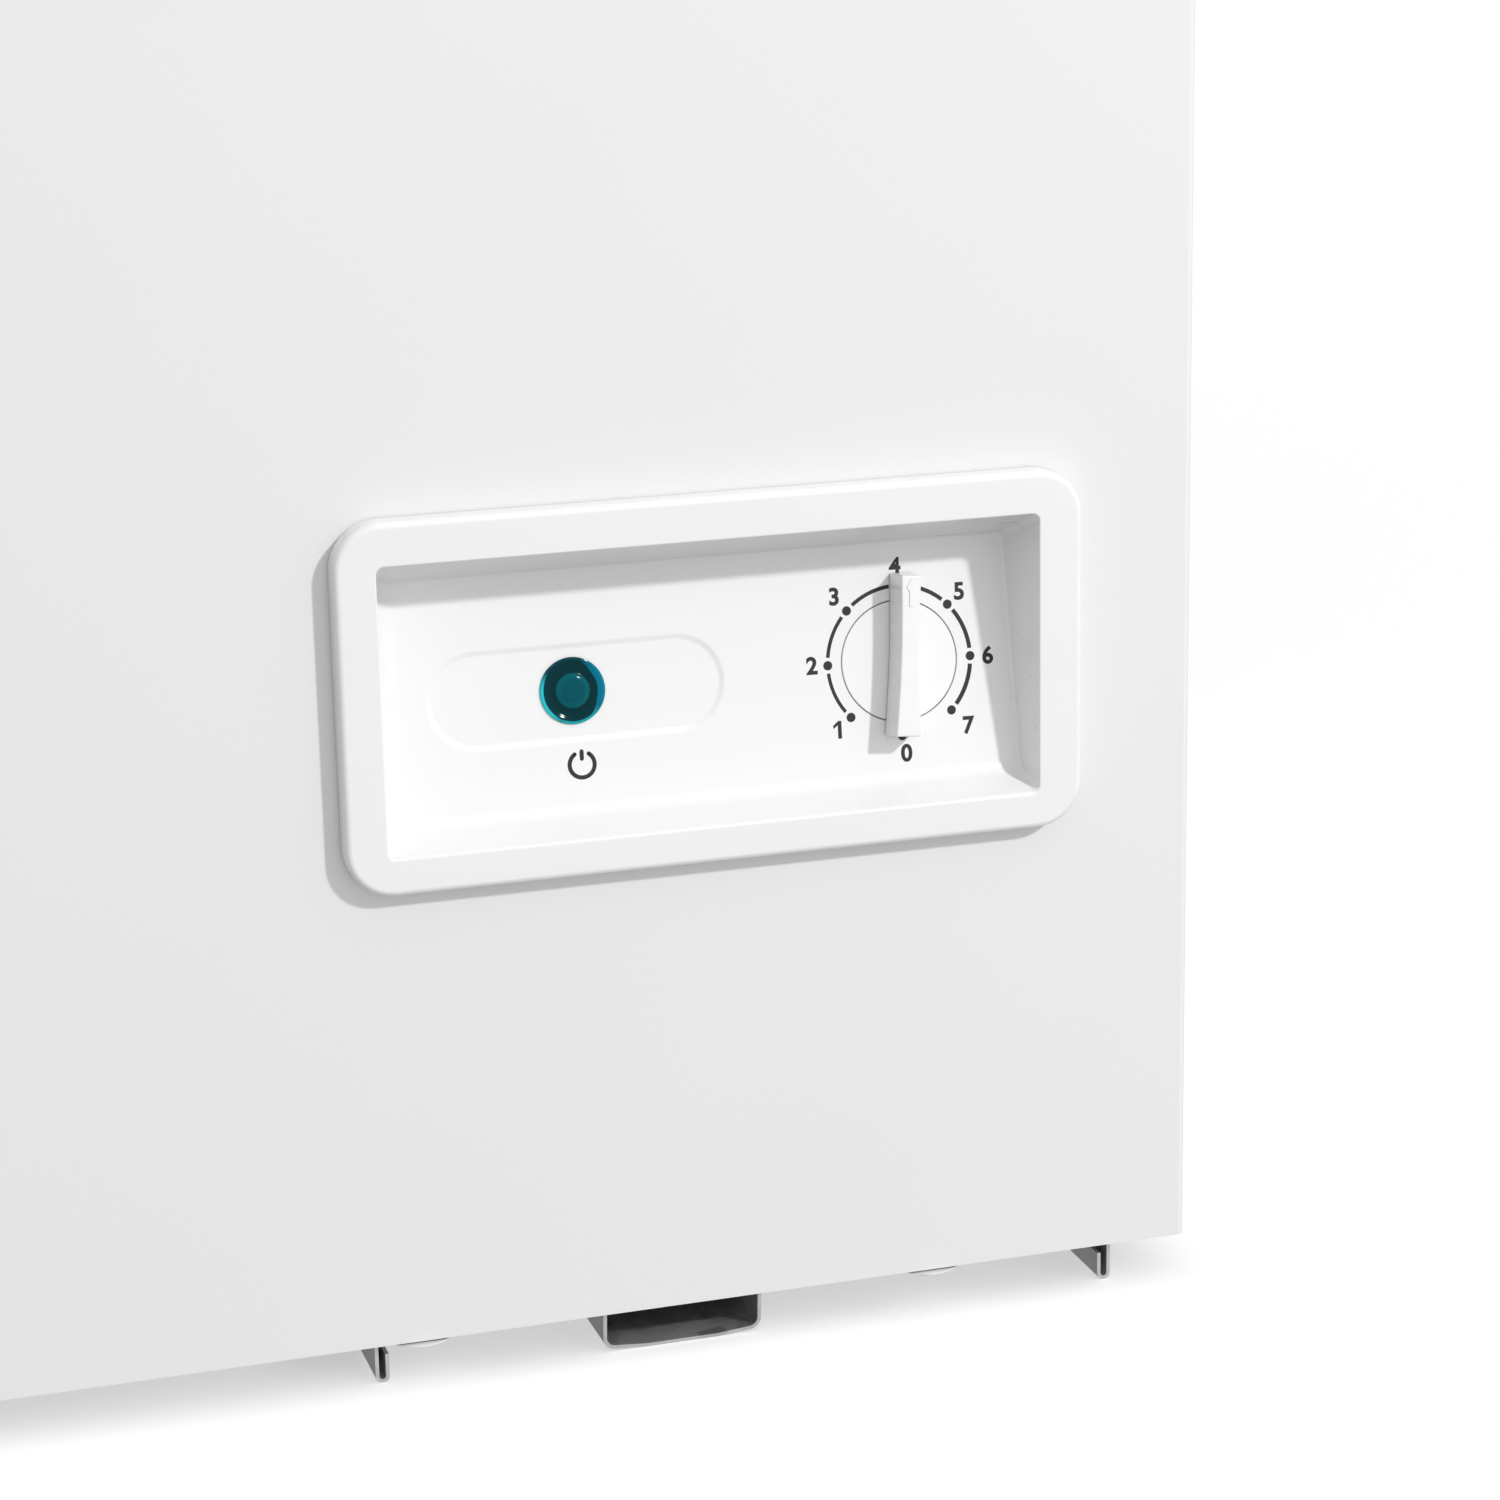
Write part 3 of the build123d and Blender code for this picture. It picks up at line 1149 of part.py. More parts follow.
def hinge_arms():
    """Leaves on the lid's back, each with two ears inside the base's."""
    shapes = []
    half = HINGE_WIDTH / 2 - EAR_SHEET - EAR_CLEARANCE
    for x in (-HINGE_X, HINGE_X):
        bottom = LID_BOTTOM + ARM_LIFT
        leaf = block(
            x - half, x + half, LID_BACK, LID_BACK + EAR_SHEET, bottom, bottom + ARM_HEIGHT
        )
        high = LID_BOTTOM + ARM_HEIGHT / 2
        ears = ear(x - half, x - half + EAR_SHEET, LID_BACK, high)
        ears = ears + ear(x + half - EAR_SHEET, x + half, LID_BACK, high)
        relief = block(
            x - HINGE_WIDTH, x + HINGE_WIDTH, LID_BACK - EAR_SHEET, HINGE_Y - EAR_RADIUS,
            HINGE_Z - 2 * EAR_RADIUS, LID_BOTTOM + ARM_LIFT / 2,
        )
        holes = [place * Cylinder(SMALL_HOLE_RADIUS, 3 * EAR_SHEET) for place in arm_screw_places(x)]
        shapes.append(leaf + ears - relief - pin_bore(x, PIN_RADIUS + PIN_CLEARANCE) - holes)
    return shapes


def base_screw_places(x):
    """Seats of the screws through a hinge's base leaf, facing back."""
    top = HINGE_Z - EAR_RADIUS
    heights = (top - HINGE_BASE_HEIGHT + BASE_SCREW_INSET, top - HINGE_BASE_HEIGHT / 2)
    return [
        Pos(x + side * HINGE_WIDTH / 4, BACK_Y + EAR_SHEET, z) * Rot(-90, 0, 0)
        for side in (-1, 1)
        for z in heights
    ]


def arm_screw_places(x):
    """Seats of the screws through a hinge's arm leaf, facing back."""
    z = LID_BOTTOM + ARM_HEIGHT - ARM_SCREW_INSET
    return [
        Pos(x + side * HINGE_WIDTH / 4, LID_BACK + EAR_SHEET, z) * Rot(-90, 0, 0)
        for side in (-1, 1)
    ]


def hinge_base_screws():
    """Screws through both hinges' base leaves."""
    places = base_screw_places(-HINGE_X) + base_screw_places(HINGE_X)
    return [place * small_screw(EAR_SHEET) for place in places]


def hinge_arm_screws():
    """Screws through both hinges' arm leaves."""
    places = arm_screw_places(-HINGE_X) + arm_screw_places(HINGE_X)
    return [place * small_screw(EAR_SHEET) for place in places]


def hinge_pins():
    """Pins with a head at each end, fixed in the base's ears."""
    shapes = []
    half = HINGE_WIDTH / 2
    for x in (-HINGE_X, HINGE_X):
        shank = rod((x - half, HINGE_Y, HINGE_Z), (x + half, HINGE_Y, HINGE_Z), PIN_RADIUS)
        heads = [
            rod(
                (x + side * half, HINGE_Y, HINGE_Z),
                (x + side * (half + PIN_HEAD), HINGE_Y, HINGE_Z),
                PIN_RADIUS + PIN_HEAD_LIP,
            )
            for side in (-1, 1)
        ]
        shapes.append(shank + heads)
    return shapes


def hinge_springs():
    """Counterbalance coils round the pins, between the arms' ears."""
    shapes = []
    length = HINGE_WIDTH - 4 * EAR_SHEET - 4 * EAR_CLEARANCE - 4 * SPRING_WIRE
    for x in (-HINGE_X, HINGE_X):
        place = Plane(
            origin=(x - length / 2, HINGE_Y, HINGE_Z), x_dir=(0, 1, 0), z_dir=(1, 0, 0)
        )
        coil = place * Helix(SPRING_PITCH, length, SPRING_RADIUS)
        section = Plane(origin=coil @ 0, z_dir=coil % 0) * Circle(SPRING_WIRE)
        shapes.append(sweep(section, path=coil, is_frenet=True))
    return shapes


# ---------------------------------------------------------------- basket
def basket_limits():
    """Corners of the basket's rim wire: x0, x1, y0, y1 and its height."""
    x1 = CABIN_X - BASKET_END_GAP
    x0 = x1 - BASKET_LENGTH
    y0 = CABIN_FRONT + BASKET_SIDE_GAP
    y1 = CABIN_BACK - BASKET_SIDE_GAP
    z = LEDGE_Z + SEAL_GAP + HANGER_WIRE
    return x0, x1, y0, y1, z


def basket_rim():
    """Top wire of the basket, a closed rounded rectangle."""
    x0, x1, y0, y1, z = basket_limits()
    outline = Pos((x0 + x1) / 2, (y0 + y1) / 2, z) * RectangleRounded(
        x1 - x0, y1 - y0, BASKET_CORNER
    )
    path = outline.face().outer_wire()
    return sweep(Plane(origin=path @ 0, z_dir=path % 0) * Circle(RIM_WIRE), path=path)


def spread(low, high):
    """Even places between two ends, about one mesh pitch apart."""
    count = max(2, round((high - low) / MESH_PITCH))
    return [low + (high - low) * i / count for i in range(count + 1)]


def mesh_panel(origin, along, across, inward, length, width):
    """A welded grid: wires one way, and wires the other way laid against their inner side."""
    start = Vector(*origin)
    one = Vector(*along)
    two = Vector(*across)
    lay = Vector(*inward) * WELD_STEP
    wires = Part()
    for step in spread(MESH_WIRE, length - MESH_WIRE):
        foot = start + one * step
        wires += rod(tuple(foot), tuple(foot + two * width), MESH_WIRE)
    for step in spread(MESH_WIRE, width - MESH_WIRE):
        foot = start + two * step + lay
        wires += rod(tuple(foot), tuple(foot + one * length), MESH_WIRE)
    return wires


def basket_walls():
    """Inner box of the basket's mesh: x0, x1, y0, y1, bottom and top of the grid."""
    x0, x1, y0, y1, z = basket_limits()
    inset = RIM_WIRE + MESH_WIRE
    return x0 + inset, x1 - inset, y0 + inset, y1 - inset, z - BASKET_DEPTH, z


def wall_mesh_height():
    """Height of the wall grids, above the floor grid's wires."""
    _, _, _, _, z0, z1 = basket_walls()
    return z1 - z0 - WELD_STEP - 2 * MESH_WIRE


def basket_side_meshes():
    """Front and back grids of the basket, welded inside its rim wire."""
    x0, x1, y0, y1, _, z1 = basket_walls()
    z = z1 - wall_mesh_height()
    margin = BASKET_CORNER - RIM_WIRE - MESH_WIRE
    length = x1 - x0 - 2 * margin
    height = wall_mesh_height()
    return [
        mesh_panel((x0 + margin, y, z), (1, 0, 0), (0, 0, 1), (0, inward, 0), length, height)
        for y, inward in ((y0, 1), (y1, -1))
    ]


def basket_end_meshes():
    """Left and right grids of the basket, welded inside its rim wire."""
    x0, x1, y0, y1, _, z1 = basket_walls()
    z = z1 - wall_mesh_height()
    margin = BASKET_CORNER - RIM_WIRE - MESH_WIRE
    length = y1 - y0 - 2 * margin
    height = wall_mesh_height()
    return [
        mesh_panel((x, y0 + margin, z), (0, 1, 0), (0, 0, 1), (inward, 0, 0), length, height)
        for x, inward in ((x0, 1), (x1, -1))
    ]


def basket_floor_mesh():
    """Bottom grid of the basket."""
    x0, x1, y0, y1, z0, _ = basket_walls()
    x = x0 - MESH_WIRE
    y = y0 - MESH_WIRE
    length = x1 - x0 + 2 * MESH_WIRE
    width = y1 - y0 + 2 * MESH_WIRE
    return mesh_panel((x, y, z0), (1, 0, 0), (0, 1, 0), (0, 0, 1), length, width)


def basket_hangers():
    """Wire loops that carry the basket on the rim's front and back ledges."""
    x0, x1, y0, y1, z = basket_limits()
    middle = (x0 + x1) / 2
    half = HANGER_LENGTH / 2
    shapes = []
    for y_rim, y_out in (
        (y0 - RIM_WIRE, CABIN_FRONT - HANGER_OVERLAP),
        (y1 + RIM_WIRE, CABIN_BACK + HANGER_OVERLAP),
    ):
        points = [
            (middle - half, y_rim, z), (middle - half, y_out, z), (middle + half, y_out, z),
            (middle + half, y_rim, z),
        ]
        shapes.append(tube(points, 2 * HANGER_WIRE, HANGER_WIRE))
    return shapes


PIECES = {
    "front_panel": front_panel,
    "left_side_panel": lambda: side_panel(-1),
    "right_side_panel": lambda: side_panel(1),
    "back_panel": back_panel,
    "bottom_panel": bottom_panel,
    "bay_shield": bay_shield,
    "rear_grille": rear_grille,
    "rear_grille_screws": grille_screws,
    "cord_inlet": cord_inlet,
    "inner_liner": inner_liner,
    "insulation_foam": insulation_foam,
    "rim_frame": rim_frame,
    "evaporator_coil": evaporator_coil,
    "condenser_coil": condenser_coil,
    "compressor_tray": compressor_tray,
    "left_skid": left_skid,
    "base_screws": base_screws,
    "compressor_shell": compressor_shell,
    "compressor_foot": compressor_foot,
    "compressor_grommets": compressor_grommets,
    "compressor_bolts": compressor_bolts,
    "terminal_cover": terminal_cover,
    "suction_pipe": suction_pipe,
    "discharge_pipe": discharge_pipe,
    "filter_drier": filter_drier,
    "control_bezel": control_bezel,
    "lamp_lens": lamp_lens,
    "lamp_holder": lamp_holder,
    "knob": knob,
    "thermostat_shaft": thermostat_shaft,
    "thermostat_body": thermostat_body,
    "thermostat_bulb_tube": bulb_tube,
    "wire_harness": wire_harness,
    "drain_tube": drain_tube,
    "drain_plug": drain_plug,
    "drain_cap": drain_cap,
    "lid_skin": lid_skin,
    "lid_foam": lid_foam,
    "lid_liner": lid_liner,
    "lid_gasket": lid_gasket,
    "lid_handle": lid_handle,
    "lid_handle_screws": handle_screws,
    "hinge_bases": hinge_bases,
    "hinge_arms": hinge_arms,
    "hinge_pins": hinge_pins,
    "hinge_base_screws": hinge_base_screws,
    "hinge_arm_screws": hinge_arm_screws,
    "hinge_springs": hinge_springs,
    "basket_rim": basket_rim,
    "basket_side_meshes": basket_side_meshes,
    "basket_end_meshes": basket_end_meshes,
    "basket_floor_mesh": basket_floor_mesh,
    "basket_hangers": basket_hangers,
}

if __name__ == "__main__":
    os.makedirs("parts", exist_ok=True)
    for piece_name, make in PIECES.items():
        made = make()
        if isinstance(made, list):
            made = Compound(children=[solid for shape in made for solid in shape.solids()])
        save(piece_name, made)
        print(piece_name, len(made.solids()), flush=True)
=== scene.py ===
"""Looks of a white chest freezer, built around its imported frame.

Metres, in the frame's own axes: +Z up, +X to the right of someone who faces the front, and the
front faces -Y. Each piece keeps its place in its mesh and rides on one body of the freezer.
"""

import logging
import math
from dataclasses import dataclass, field
from enum import Enum
from typing import Any, Sequence, Union

import bmesh
import bpy
from mathutils import Matrix, Vector


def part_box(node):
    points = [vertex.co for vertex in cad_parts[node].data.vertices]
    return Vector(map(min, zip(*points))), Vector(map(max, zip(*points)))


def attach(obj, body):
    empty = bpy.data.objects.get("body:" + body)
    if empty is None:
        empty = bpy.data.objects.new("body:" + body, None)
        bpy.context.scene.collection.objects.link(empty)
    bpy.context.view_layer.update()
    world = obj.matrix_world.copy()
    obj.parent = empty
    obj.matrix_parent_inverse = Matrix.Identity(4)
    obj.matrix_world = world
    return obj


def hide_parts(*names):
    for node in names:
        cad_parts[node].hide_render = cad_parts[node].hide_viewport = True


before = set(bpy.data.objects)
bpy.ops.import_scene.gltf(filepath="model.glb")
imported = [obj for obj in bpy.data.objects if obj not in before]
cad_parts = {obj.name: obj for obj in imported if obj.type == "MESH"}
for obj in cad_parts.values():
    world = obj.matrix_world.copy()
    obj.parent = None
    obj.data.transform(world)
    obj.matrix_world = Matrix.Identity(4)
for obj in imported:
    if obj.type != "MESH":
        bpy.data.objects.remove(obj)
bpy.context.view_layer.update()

MM = 0.001
FULL_TURN = 2 * math.pi
SMOOTH_ANGLE = math.radians(35)

LOG = logging.getLogger("chest_freezer")
Colour = tuple[float, float, float]
Number = Union[float, "Socket"]


# ---------------------------------------------------------------- shader expressions
class Socket:
    """An output in a material's graph, which arithmetic extends with Math nodes."""

    def __init__(self, graph: "Graph", link: bpy.types.NodeSocket) -> None:
        """Keeps the graph and the output.

        Args:
            graph: the graph that new nodes go to.
            link: the output that is wrapped.
        """
        self.graph = graph
        self.link = link

    def _math(self, operation: str, first: Number, second: Number = 0.0) -> "Socket":
        """Adds one Math node.

        Args:
            operation: the node's operation.
            first: its first value.
            second: its second value.

        Returns:
            The node's output.
        """
        return self.graph.node("ShaderNodeMath", {"operation": operation}, {0: first, 1: second})

    def __add__(self, other: Number) -> "Socket":
        """The sum."""
        return self._math("ADD", self, other)

    __radd__ = __add__

    def __sub__(self, other: Number) -> "Socket":
        """The difference."""
        return self._math("SUBTRACT", self, other)

    def __rsub__(self, other: Number) -> "Socket":
        """The difference, the other way round."""
        return self._math("SUBTRACT", other, self)

    def __mul__(self, other: Number) -> "Socket":
        """The product."""
        return self._math("MULTIPLY", self, other)

    __rmul__ = __mul__

    def __truediv__(self, other: Number) -> "Socket":
        """The quotient."""
        return self._math("DIVIDE", self, other)

    def __pow__(self, other: Number) -> "Socket":
        """The power."""
        return self._math("POWER", self, other)

    def turn_from(self, x: "Socket") -> "Socket":
        """The angle of the point (x, this), in radians."""
        return self._math("ARCTAN2", self, x)

    def cosine(self) -> "Socket":
        """The cosine."""
        return self._math("COSINE", self)

    def rise(self, low: float, high: float) -> "Socket":
        """Goes smoothly from 0 at low to 1 at high.

        Args:
            low: the value that gives 0.
            high: the value that gives 1.

        Returns:
            The eased share.
        """
        settings = {"interpolation_type": "SMOOTHSTEP"}
        return self.graph.node("ShaderNodeMapRange", settings, {0: self, 1: low, 2: high})


class Graph:
    """A material's node graph."""

    def __init__(self, tree: bpy.types.NodeTree) -> None:
        """Empties the tree.

        Args:
            tree: the node tree of a material or of the world.
        """
        self.tree = tree
        tree.nodes.clear()

    def node(
        self,
        kind: str,
        settings: dict[str, Any] | None = None,
        inputs: dict[int | str, Any] | None = None,
        out: int | str = 0,
    ) -> Socket:
        """Adds a node.

        Args:
            kind: the node's type.
            settings: its properties, or a ramp's stops as (place, colour) pairs.
            inputs: a value or an output for each input, by its name or number.
            out: the output to hand back.

        Returns:
            The chosen output.
        """
        made = self.tree.nodes.new(kind)
        for name, value in (settings or {}).items():
            if name == "stops":
                stops = made.color_ramp.elements
                while len(stops) < len(value):
                    stops.new(0.5)
                for stop, (place, colour) in zip(stops, value):
                    stop.position = place
                    stop.color = (*colour, 1.0)
            else:
                setattr(made, name, value)
        for name, value in (inputs or {}).items():
            if isinstance(value, Socket):
                self.tree.links.new(value.link, made.inputs[name])
            else:
                made.inputs[name].default_value = value
        return Socket(self, made.outputs[out] if made.outputs else None)

    def place(self) -> Socket:
        """Object coordinates, in metres."""
        return self.node("ShaderNodeTexCoord", out="Object")

    def local(self, spot: Matrix) -> tuple[Socket, Socket, Socket]:
        """Coordinates in a turned frame.

        Args:
            spot: the frame's place.

        Returns:
            The three coordinates.
        """
        moved = self.node(
            "ShaderNodeMapping",
            {"vector_type": "TEXTURE"},
            {0: self.place(), 1: spot.to_translation(), 2: spot.to_euler()},
        )
        return tuple(self.node("ShaderNodeSeparateXYZ", None, {0: moved}, axis) for axis in range(3))

    def noise(self, size: float, detail: float = 2.0, stretch: Colour = (1.0, 1.0, 1.0)) -> Socket:
        """Soft noise.

        Args:
            size: how wide its blotches are, in metres.
            detail: how many finer octaves it has.
            stretch: how the pattern is squeezed along each axis.

        Returns:
            The noise, about 0.5.
        """
        spot = self.node("ShaderNodeMapping", None, {0: self.place(), 3: stretch})
        return self.node("ShaderNodeTexNoise", None, {0: spot, "Scale": 1 / size, "Detail": detail})

    def blend(self, share: Number, first: Any, second: Any) -> Socket:
        """Mixes two colours.

        Args:
            share: 0 for the first and 1 for the second.
            first: a colour or an output.
            second: a colour or an output.

        Returns:
            The mixed colour.
        """
        ends = [end if isinstance(end, Socket) else (*end, 1.0) for end in (first, second)]
        inputs = {"Factor": share, 6: ends[0], 7: ends[1]}
        return self.node("ShaderNodeMix", {"data_type": "RGBA"}, inputs, 2)

    def relief(self, height: Socket, depth: float) -> Socket:
        """A bumped normal.

        Args:
            height: the relief, from 0 to 1.
            depth: how deep a full step is, in metres.

        Returns:
            The normal.
        """
        return self.node("ShaderNodeBump", None, {"Height": height, "Distance": depth})


# ---------------------------------------------------------------- finishes
@dataclass(frozen=True)
class Finish:
    """A surface finish: its name, its slot, its colour and its roughness."""

    name: str
    slot: str
    colour: Colour
    roughness: float

    def inputs(self, graph: Graph) -> dict[int | str, Any]:
        """What the finish sets on its shader.

        Args:
            graph: the material's graph.

        Returns:
            Values and outputs by socket name.
        """
        raise NotImplementedError(self.name)

    def material(self) -> bpy.types.Material:
        """The finish as a material, made once."""
        found = bpy.data.materials.get(self.name)
        if found:
            return found
        made = bpy.data.materials.new(self.name)
        made.use_nodes = True
        graph = Graph(made.node_tree)
        shader = graph.node("ShaderNodeBsdfPrincipled", None, self.inputs(graph))
        graph.node("ShaderNodeOutputMaterial", None, {"Surface": shader})
        return made


@dataclass(frozen=True)
class Paint(Finish):
    """Powder paint on thin sheet: a faint orange peel, and a slow waviness of the sheet."""

    peel: float = 1.6 * MM
    peel_depth: float = 0.012 * MM
    wave_depth: float = 0.35 * MM
    coat: float = 0.25

    def inputs(self, graph: Graph) -> dict[int | str, Any]:
        """Peel and wave as relief, with a cloudy tone."""
        peel = graph.noise(self.peel, 1.0)
        wave = graph.noise(180 * MM, 0.0)
        height = peel * self.peel_depth / self.wave_depth + wave
        dust = graph.noise(70 * MM, 4.0)
        dark = tuple(0.985 * part for part in self.colour)
        return {
            "Base Color": graph.blend(dust, dark, self.colour),
            "Roughness": self.roughness + (dust - 0.5) * 0.08,
            "Coat Weight": self.coat,
            "Coat Roughness": 0.22,
            "Normal": graph.relief(height, self.wave_depth),
        }


@dataclass(frozen=True)
class Plastic(Finish):
    """Injection-moulded plastic: a fine grain and faint flow marks along X."""

    grain: float = 0.5 * MM
    grain_depth: float = 0.004 * MM
    coat: float = 0.3

    def inputs(self, graph: Graph) -> dict[int | str, Any]:
        """Grain as relief, with flow marks in tone and gloss."""
        grain = graph.noise(self.grain, 2.0)
        flow = graph.noise(9 * MM, 2.0, (0.12, 1.0, 1.0))
        dark = tuple(0.975 * part for part in self.colour)
        return {
            "Base Color": graph.blend(flow, dark, self.colour),
            "Roughness": self.roughness + (flow - 0.5) * 0.12,
            "Coat Weight": self.coat,
            "Coat Roughness": 0.12,
            "Normal": graph.relief(grain, self.grain_depth),
        }


@dataclass(frozen=True)
class Zinc(Finish):
    """Hot-dipped zinc: flat spangles of differing tone and gloss, with fine rolling marks."""

    spangle: float = 7 * MM

    def inputs(self, graph: Graph) -> dict[int | str, Any]:
        """Spangles from cells, dulled by a cloud of white rust."""
        cells = graph.node(
            "ShaderNodeTexVoronoi", None, {0: graph.place(), "Scale": 1 / self.spangle}, "Color"
        )
        cell = graph.node("ShaderNodeSeparateColor", None, {0: cells})
        rolled = graph.noise(2.5 * MM, 3.0, (1.0, 0.08, 1.0))
        cloud = graph.noise(30 * MM, 4.0)
        dark = tuple(0.7 * part for part in self.colour)
        share = cell * 0.55 + rolled * 0.25 + cloud * 0.2
        return {
            "Base Color": graph.blend(share, dark, self.colour),
            "Metallic": 0.85,
            "Roughness": self.roughness + cell * 0.14 + (cloud - 0.5) * 0.2,
            "Normal": graph.relief(rolled, 0.01 * MM),
        }


@dataclass(frozen=True)
class Metal(Finish):
    """Bare or plated metal with fine marks and a tarnish that gathers in patches."""

    tarnish: Colour = (0.3, 0.3, 0.3)
    spread: float = 0.35

    def inputs(self, graph: Graph) -> dict[int | str, Any]:
        """Tarnish in patches, with scuffed gloss."""
        patch = graph.noise(12 * MM, 5.0).rise(0.45, 0.75) * self.spread
        marks = graph.noise(1.2 * MM, 3.0)
        return {
            "Base Color": graph.blend(patch, self.colour, self.tarnish),
            "Metallic": 1.0,
            "Roughness": self.roughness + marks * 0.12 + patch * 0.25,
            "Normal": graph.relief(marks, 0.01 * MM),
        }


@dataclass(frozen=True)
class Embossed(Finish):
    """Stucco-embossed aluminium of a cabin's liner."""

    pebble: float = 3.2 * MM
    depth: float = 0.25 * MM

    def inputs(self, graph: Graph) -> dict[int | str, Any]:
        """Rounded pebbles as relief, with painted light on their tops and painted shade between them."""
        warp = graph.noise(4 * MM, 1.0)
        cells = graph.node(
            "ShaderNodeTexVoronoi",
            {"feature": "SMOOTH_F1"},
            {0: graph.place(), "Scale": 1 / self.pebble},
            "Distance",
        )
        height = (1 - cells) * 0.8 + warp * 0.4
        # Painted shade: the colour follows the relief, darker between the pebbles and lighter on their
        # tops.
        dark = tuple(0.8 * part for part in self.colour)
        return {
            "Base Color": graph.blend(height.rise(0.2, 0.8), dark, self.colour),
            "Metallic": 0.85,
            "Roughness": self.roughness + (warp - 0.5) * 0.1,
            "Normal": graph.relief(height, self.depth),
        }


@dataclass(frozen=True)
class Soft(Finish):
    """Rubber, foam or dull moulding: matt, with a coarse grain."""

    grain: float = 1.5 * MM
    depth: float = 0.06 * MM

    def inputs(self, graph: Graph) -> dict[int | str, Any]:
        """A coarse grain in relief and in tone."""
        grain = graph.noise(self.grain, 4.0)
        cloud = graph.noise(25 * MM, 2.0)
        dark = tuple(0.8 * part for part in self.colour)
        return {
            "Base Color": graph.blend((grain + cloud) * 0.5, dark, self.colour),
            "Roughness": self.roughness + (grain - 0.5) * 0.15,
            "Normal": graph.relief(grain, self.depth),
        }


@dataclass(frozen=True)
class TintedLens(Finish):
    """Turquoise lens with painted light: a rim brightened by angle, a dark ring of painted shade over its
    groove, and a teal middle with a painted highlight round the dome's edge.
    """

    spot: Matrix = field(default_factory=Matrix)
    radius: float = 8.75 * MM

    def inputs(self, graph: Graph) -> dict[int | str, Any]:
        """Rings by distance from the middle, with painted light on the rim by angle, painted shade over the
        groove and a painted highlight round the dome's edge.
        """
        x, y, _ = graph.local(self.spot)
        reach = ((x * x + y * y) ** 0.5) / self.radius
        turn = y.turn_from(x)
        # Painted light by angle: a bright crescent at the lower left and a weaker one at the bottom, where
        # light from the upper right leaves the rim, and a bluer band on the right.
        painted_light_left = (turn - math.radians(198)).cosine().rise(0.5, 0.95)
        low = (turn - math.radians(275)).cosine().rise(0.55, 0.95)
        wide = (turn - math.radians(10)).cosine().rise(0.35, 0.95)
        rim_dark, rim_painted_light_right, rim_painted_glow = (0.0, 0.05, 0.065), (0.0, 0.18, 0.28), (0.02, 0.55, 0.60)
        painted_crescent = graph.node("ShaderNodeMath", {"operation": "MAXIMUM"}, {0: painted_light_left, 1: low * 0.6})
        rim = graph.blend(painted_crescent, graph.blend(wide, rim_dark, rim_painted_light_right), rim_painted_glow)
        # Painted shade and highlight by distance: a brighter ring round the dome's edge, then a dark ring
        # over the groove and the rim's inner slope.
        inner_rings_painted_shade_and_highlight = graph.node(
            "ShaderNodeValToRGB",
            {"stops": [
                (0.0, (0.0, 0.085, 0.115)), (0.3, (0.0, 0.075, 0.10)), (0.48, (0.0, 0.11, 0.13)),
                (0.55, (0.0, 0.026, 0.032)), (0.76, (0.0, 0.032, 0.040)),
            ]},
            {0: reach},
        )
        # The painted crescents also widen the rim where they fall.
        rim_share = (reach + wide * 0.16 + painted_crescent * 0.03).rise(0.91, 0.95)
        speck = graph.noise(0.8 * MM, 2.0)
        return {
            "Base Color": graph.blend(rim_share, inner_rings_painted_shade_and_highlight, rim),
            "Roughness": self.roughness + speck * 0.04,
            "Specular IOR Level": 0.1,
        }


class Look(Enum):
    """Every finish of the freezer that needs no place of its own."""

    CABINET_PAINT = Paint("cabinet_paint", "painted_steel", (0.80, 0.802, 0.803), 0.42)
    SCREW_PAINT = Paint("screw_paint", "painted_steel", (0.84, 0.84, 0.835), 0.3, peel=0.8 * MM)
    BEZEL_PLASTIC = Plastic("bezel_plastic", "white_plastic", (0.86, 0.862, 0.86), 0.3)
    KNOB_PLASTIC = Plastic("knob_plastic", "white_plastic", (0.88, 0.88, 0.875), 0.26)
    TRIM_PLASTIC = Plastic("trim_plastic", "white_plastic", (0.80, 0.805, 0.81), 0.34)
    GALVANISED = Zinc("galvanised_sheet", "galvanised_steel", (0.74, 0.745, 0.75), 0.32)
    ZINC_PLATE = Metal("zinc_plating", "zinc_steel", (0.74, 0.74, 0.72), 0.2)
    LINER = Embossed("embossed_liner", "liner_metal", (0.80, 0.81, 0.82), 0.34)
    FOAM = Soft("rigid_foam", "foam", (0.72, 0.62, 0.36), 0.85)
    DRAIN = Plastic("drain_plastic", "grey_plastic", (0.42, 0.43, 0.44), 0.45, coat=0.0)
    SEAL = Soft("seal_rubber", "seal_rubber", (0.50, 0.51, 0.52), 0.6, grain=0.8 * MM, depth=0.02 * MM)
    BLACK_RUBBER = Soft("black_rubber", "black_rubber", (0.022, 0.022, 0.022), 0.65)
    BLACK_PLASTIC = Plastic("black_plastic", "black_plastic", (0.02, 0.02, 0.022), 0.45, coat=0.0)
    ENAMEL = Paint("black_enamel", "compressor_paint", (0.014, 0.014, 0.015), 0.25)
    COPPER = Metal("copper_tube", "copper", (0.86, 0.47, 0.31), 0.24, (0.30, 0.14, 0.09))
    COIL = Metal("aluminium_coil", "coil_tube", (0.78, 0.78, 0.79), 0.3)
    WIRE = Plastic("coated_wire", "coated_wire", (0.80, 0.81, 0.82), 0.28, grain=2 * MM)
    INK = Soft("dial_ink", "black_plastic", (0.014, 0.013, 0.013), 0.5, 0.3 * MM, 0.002 * MM)


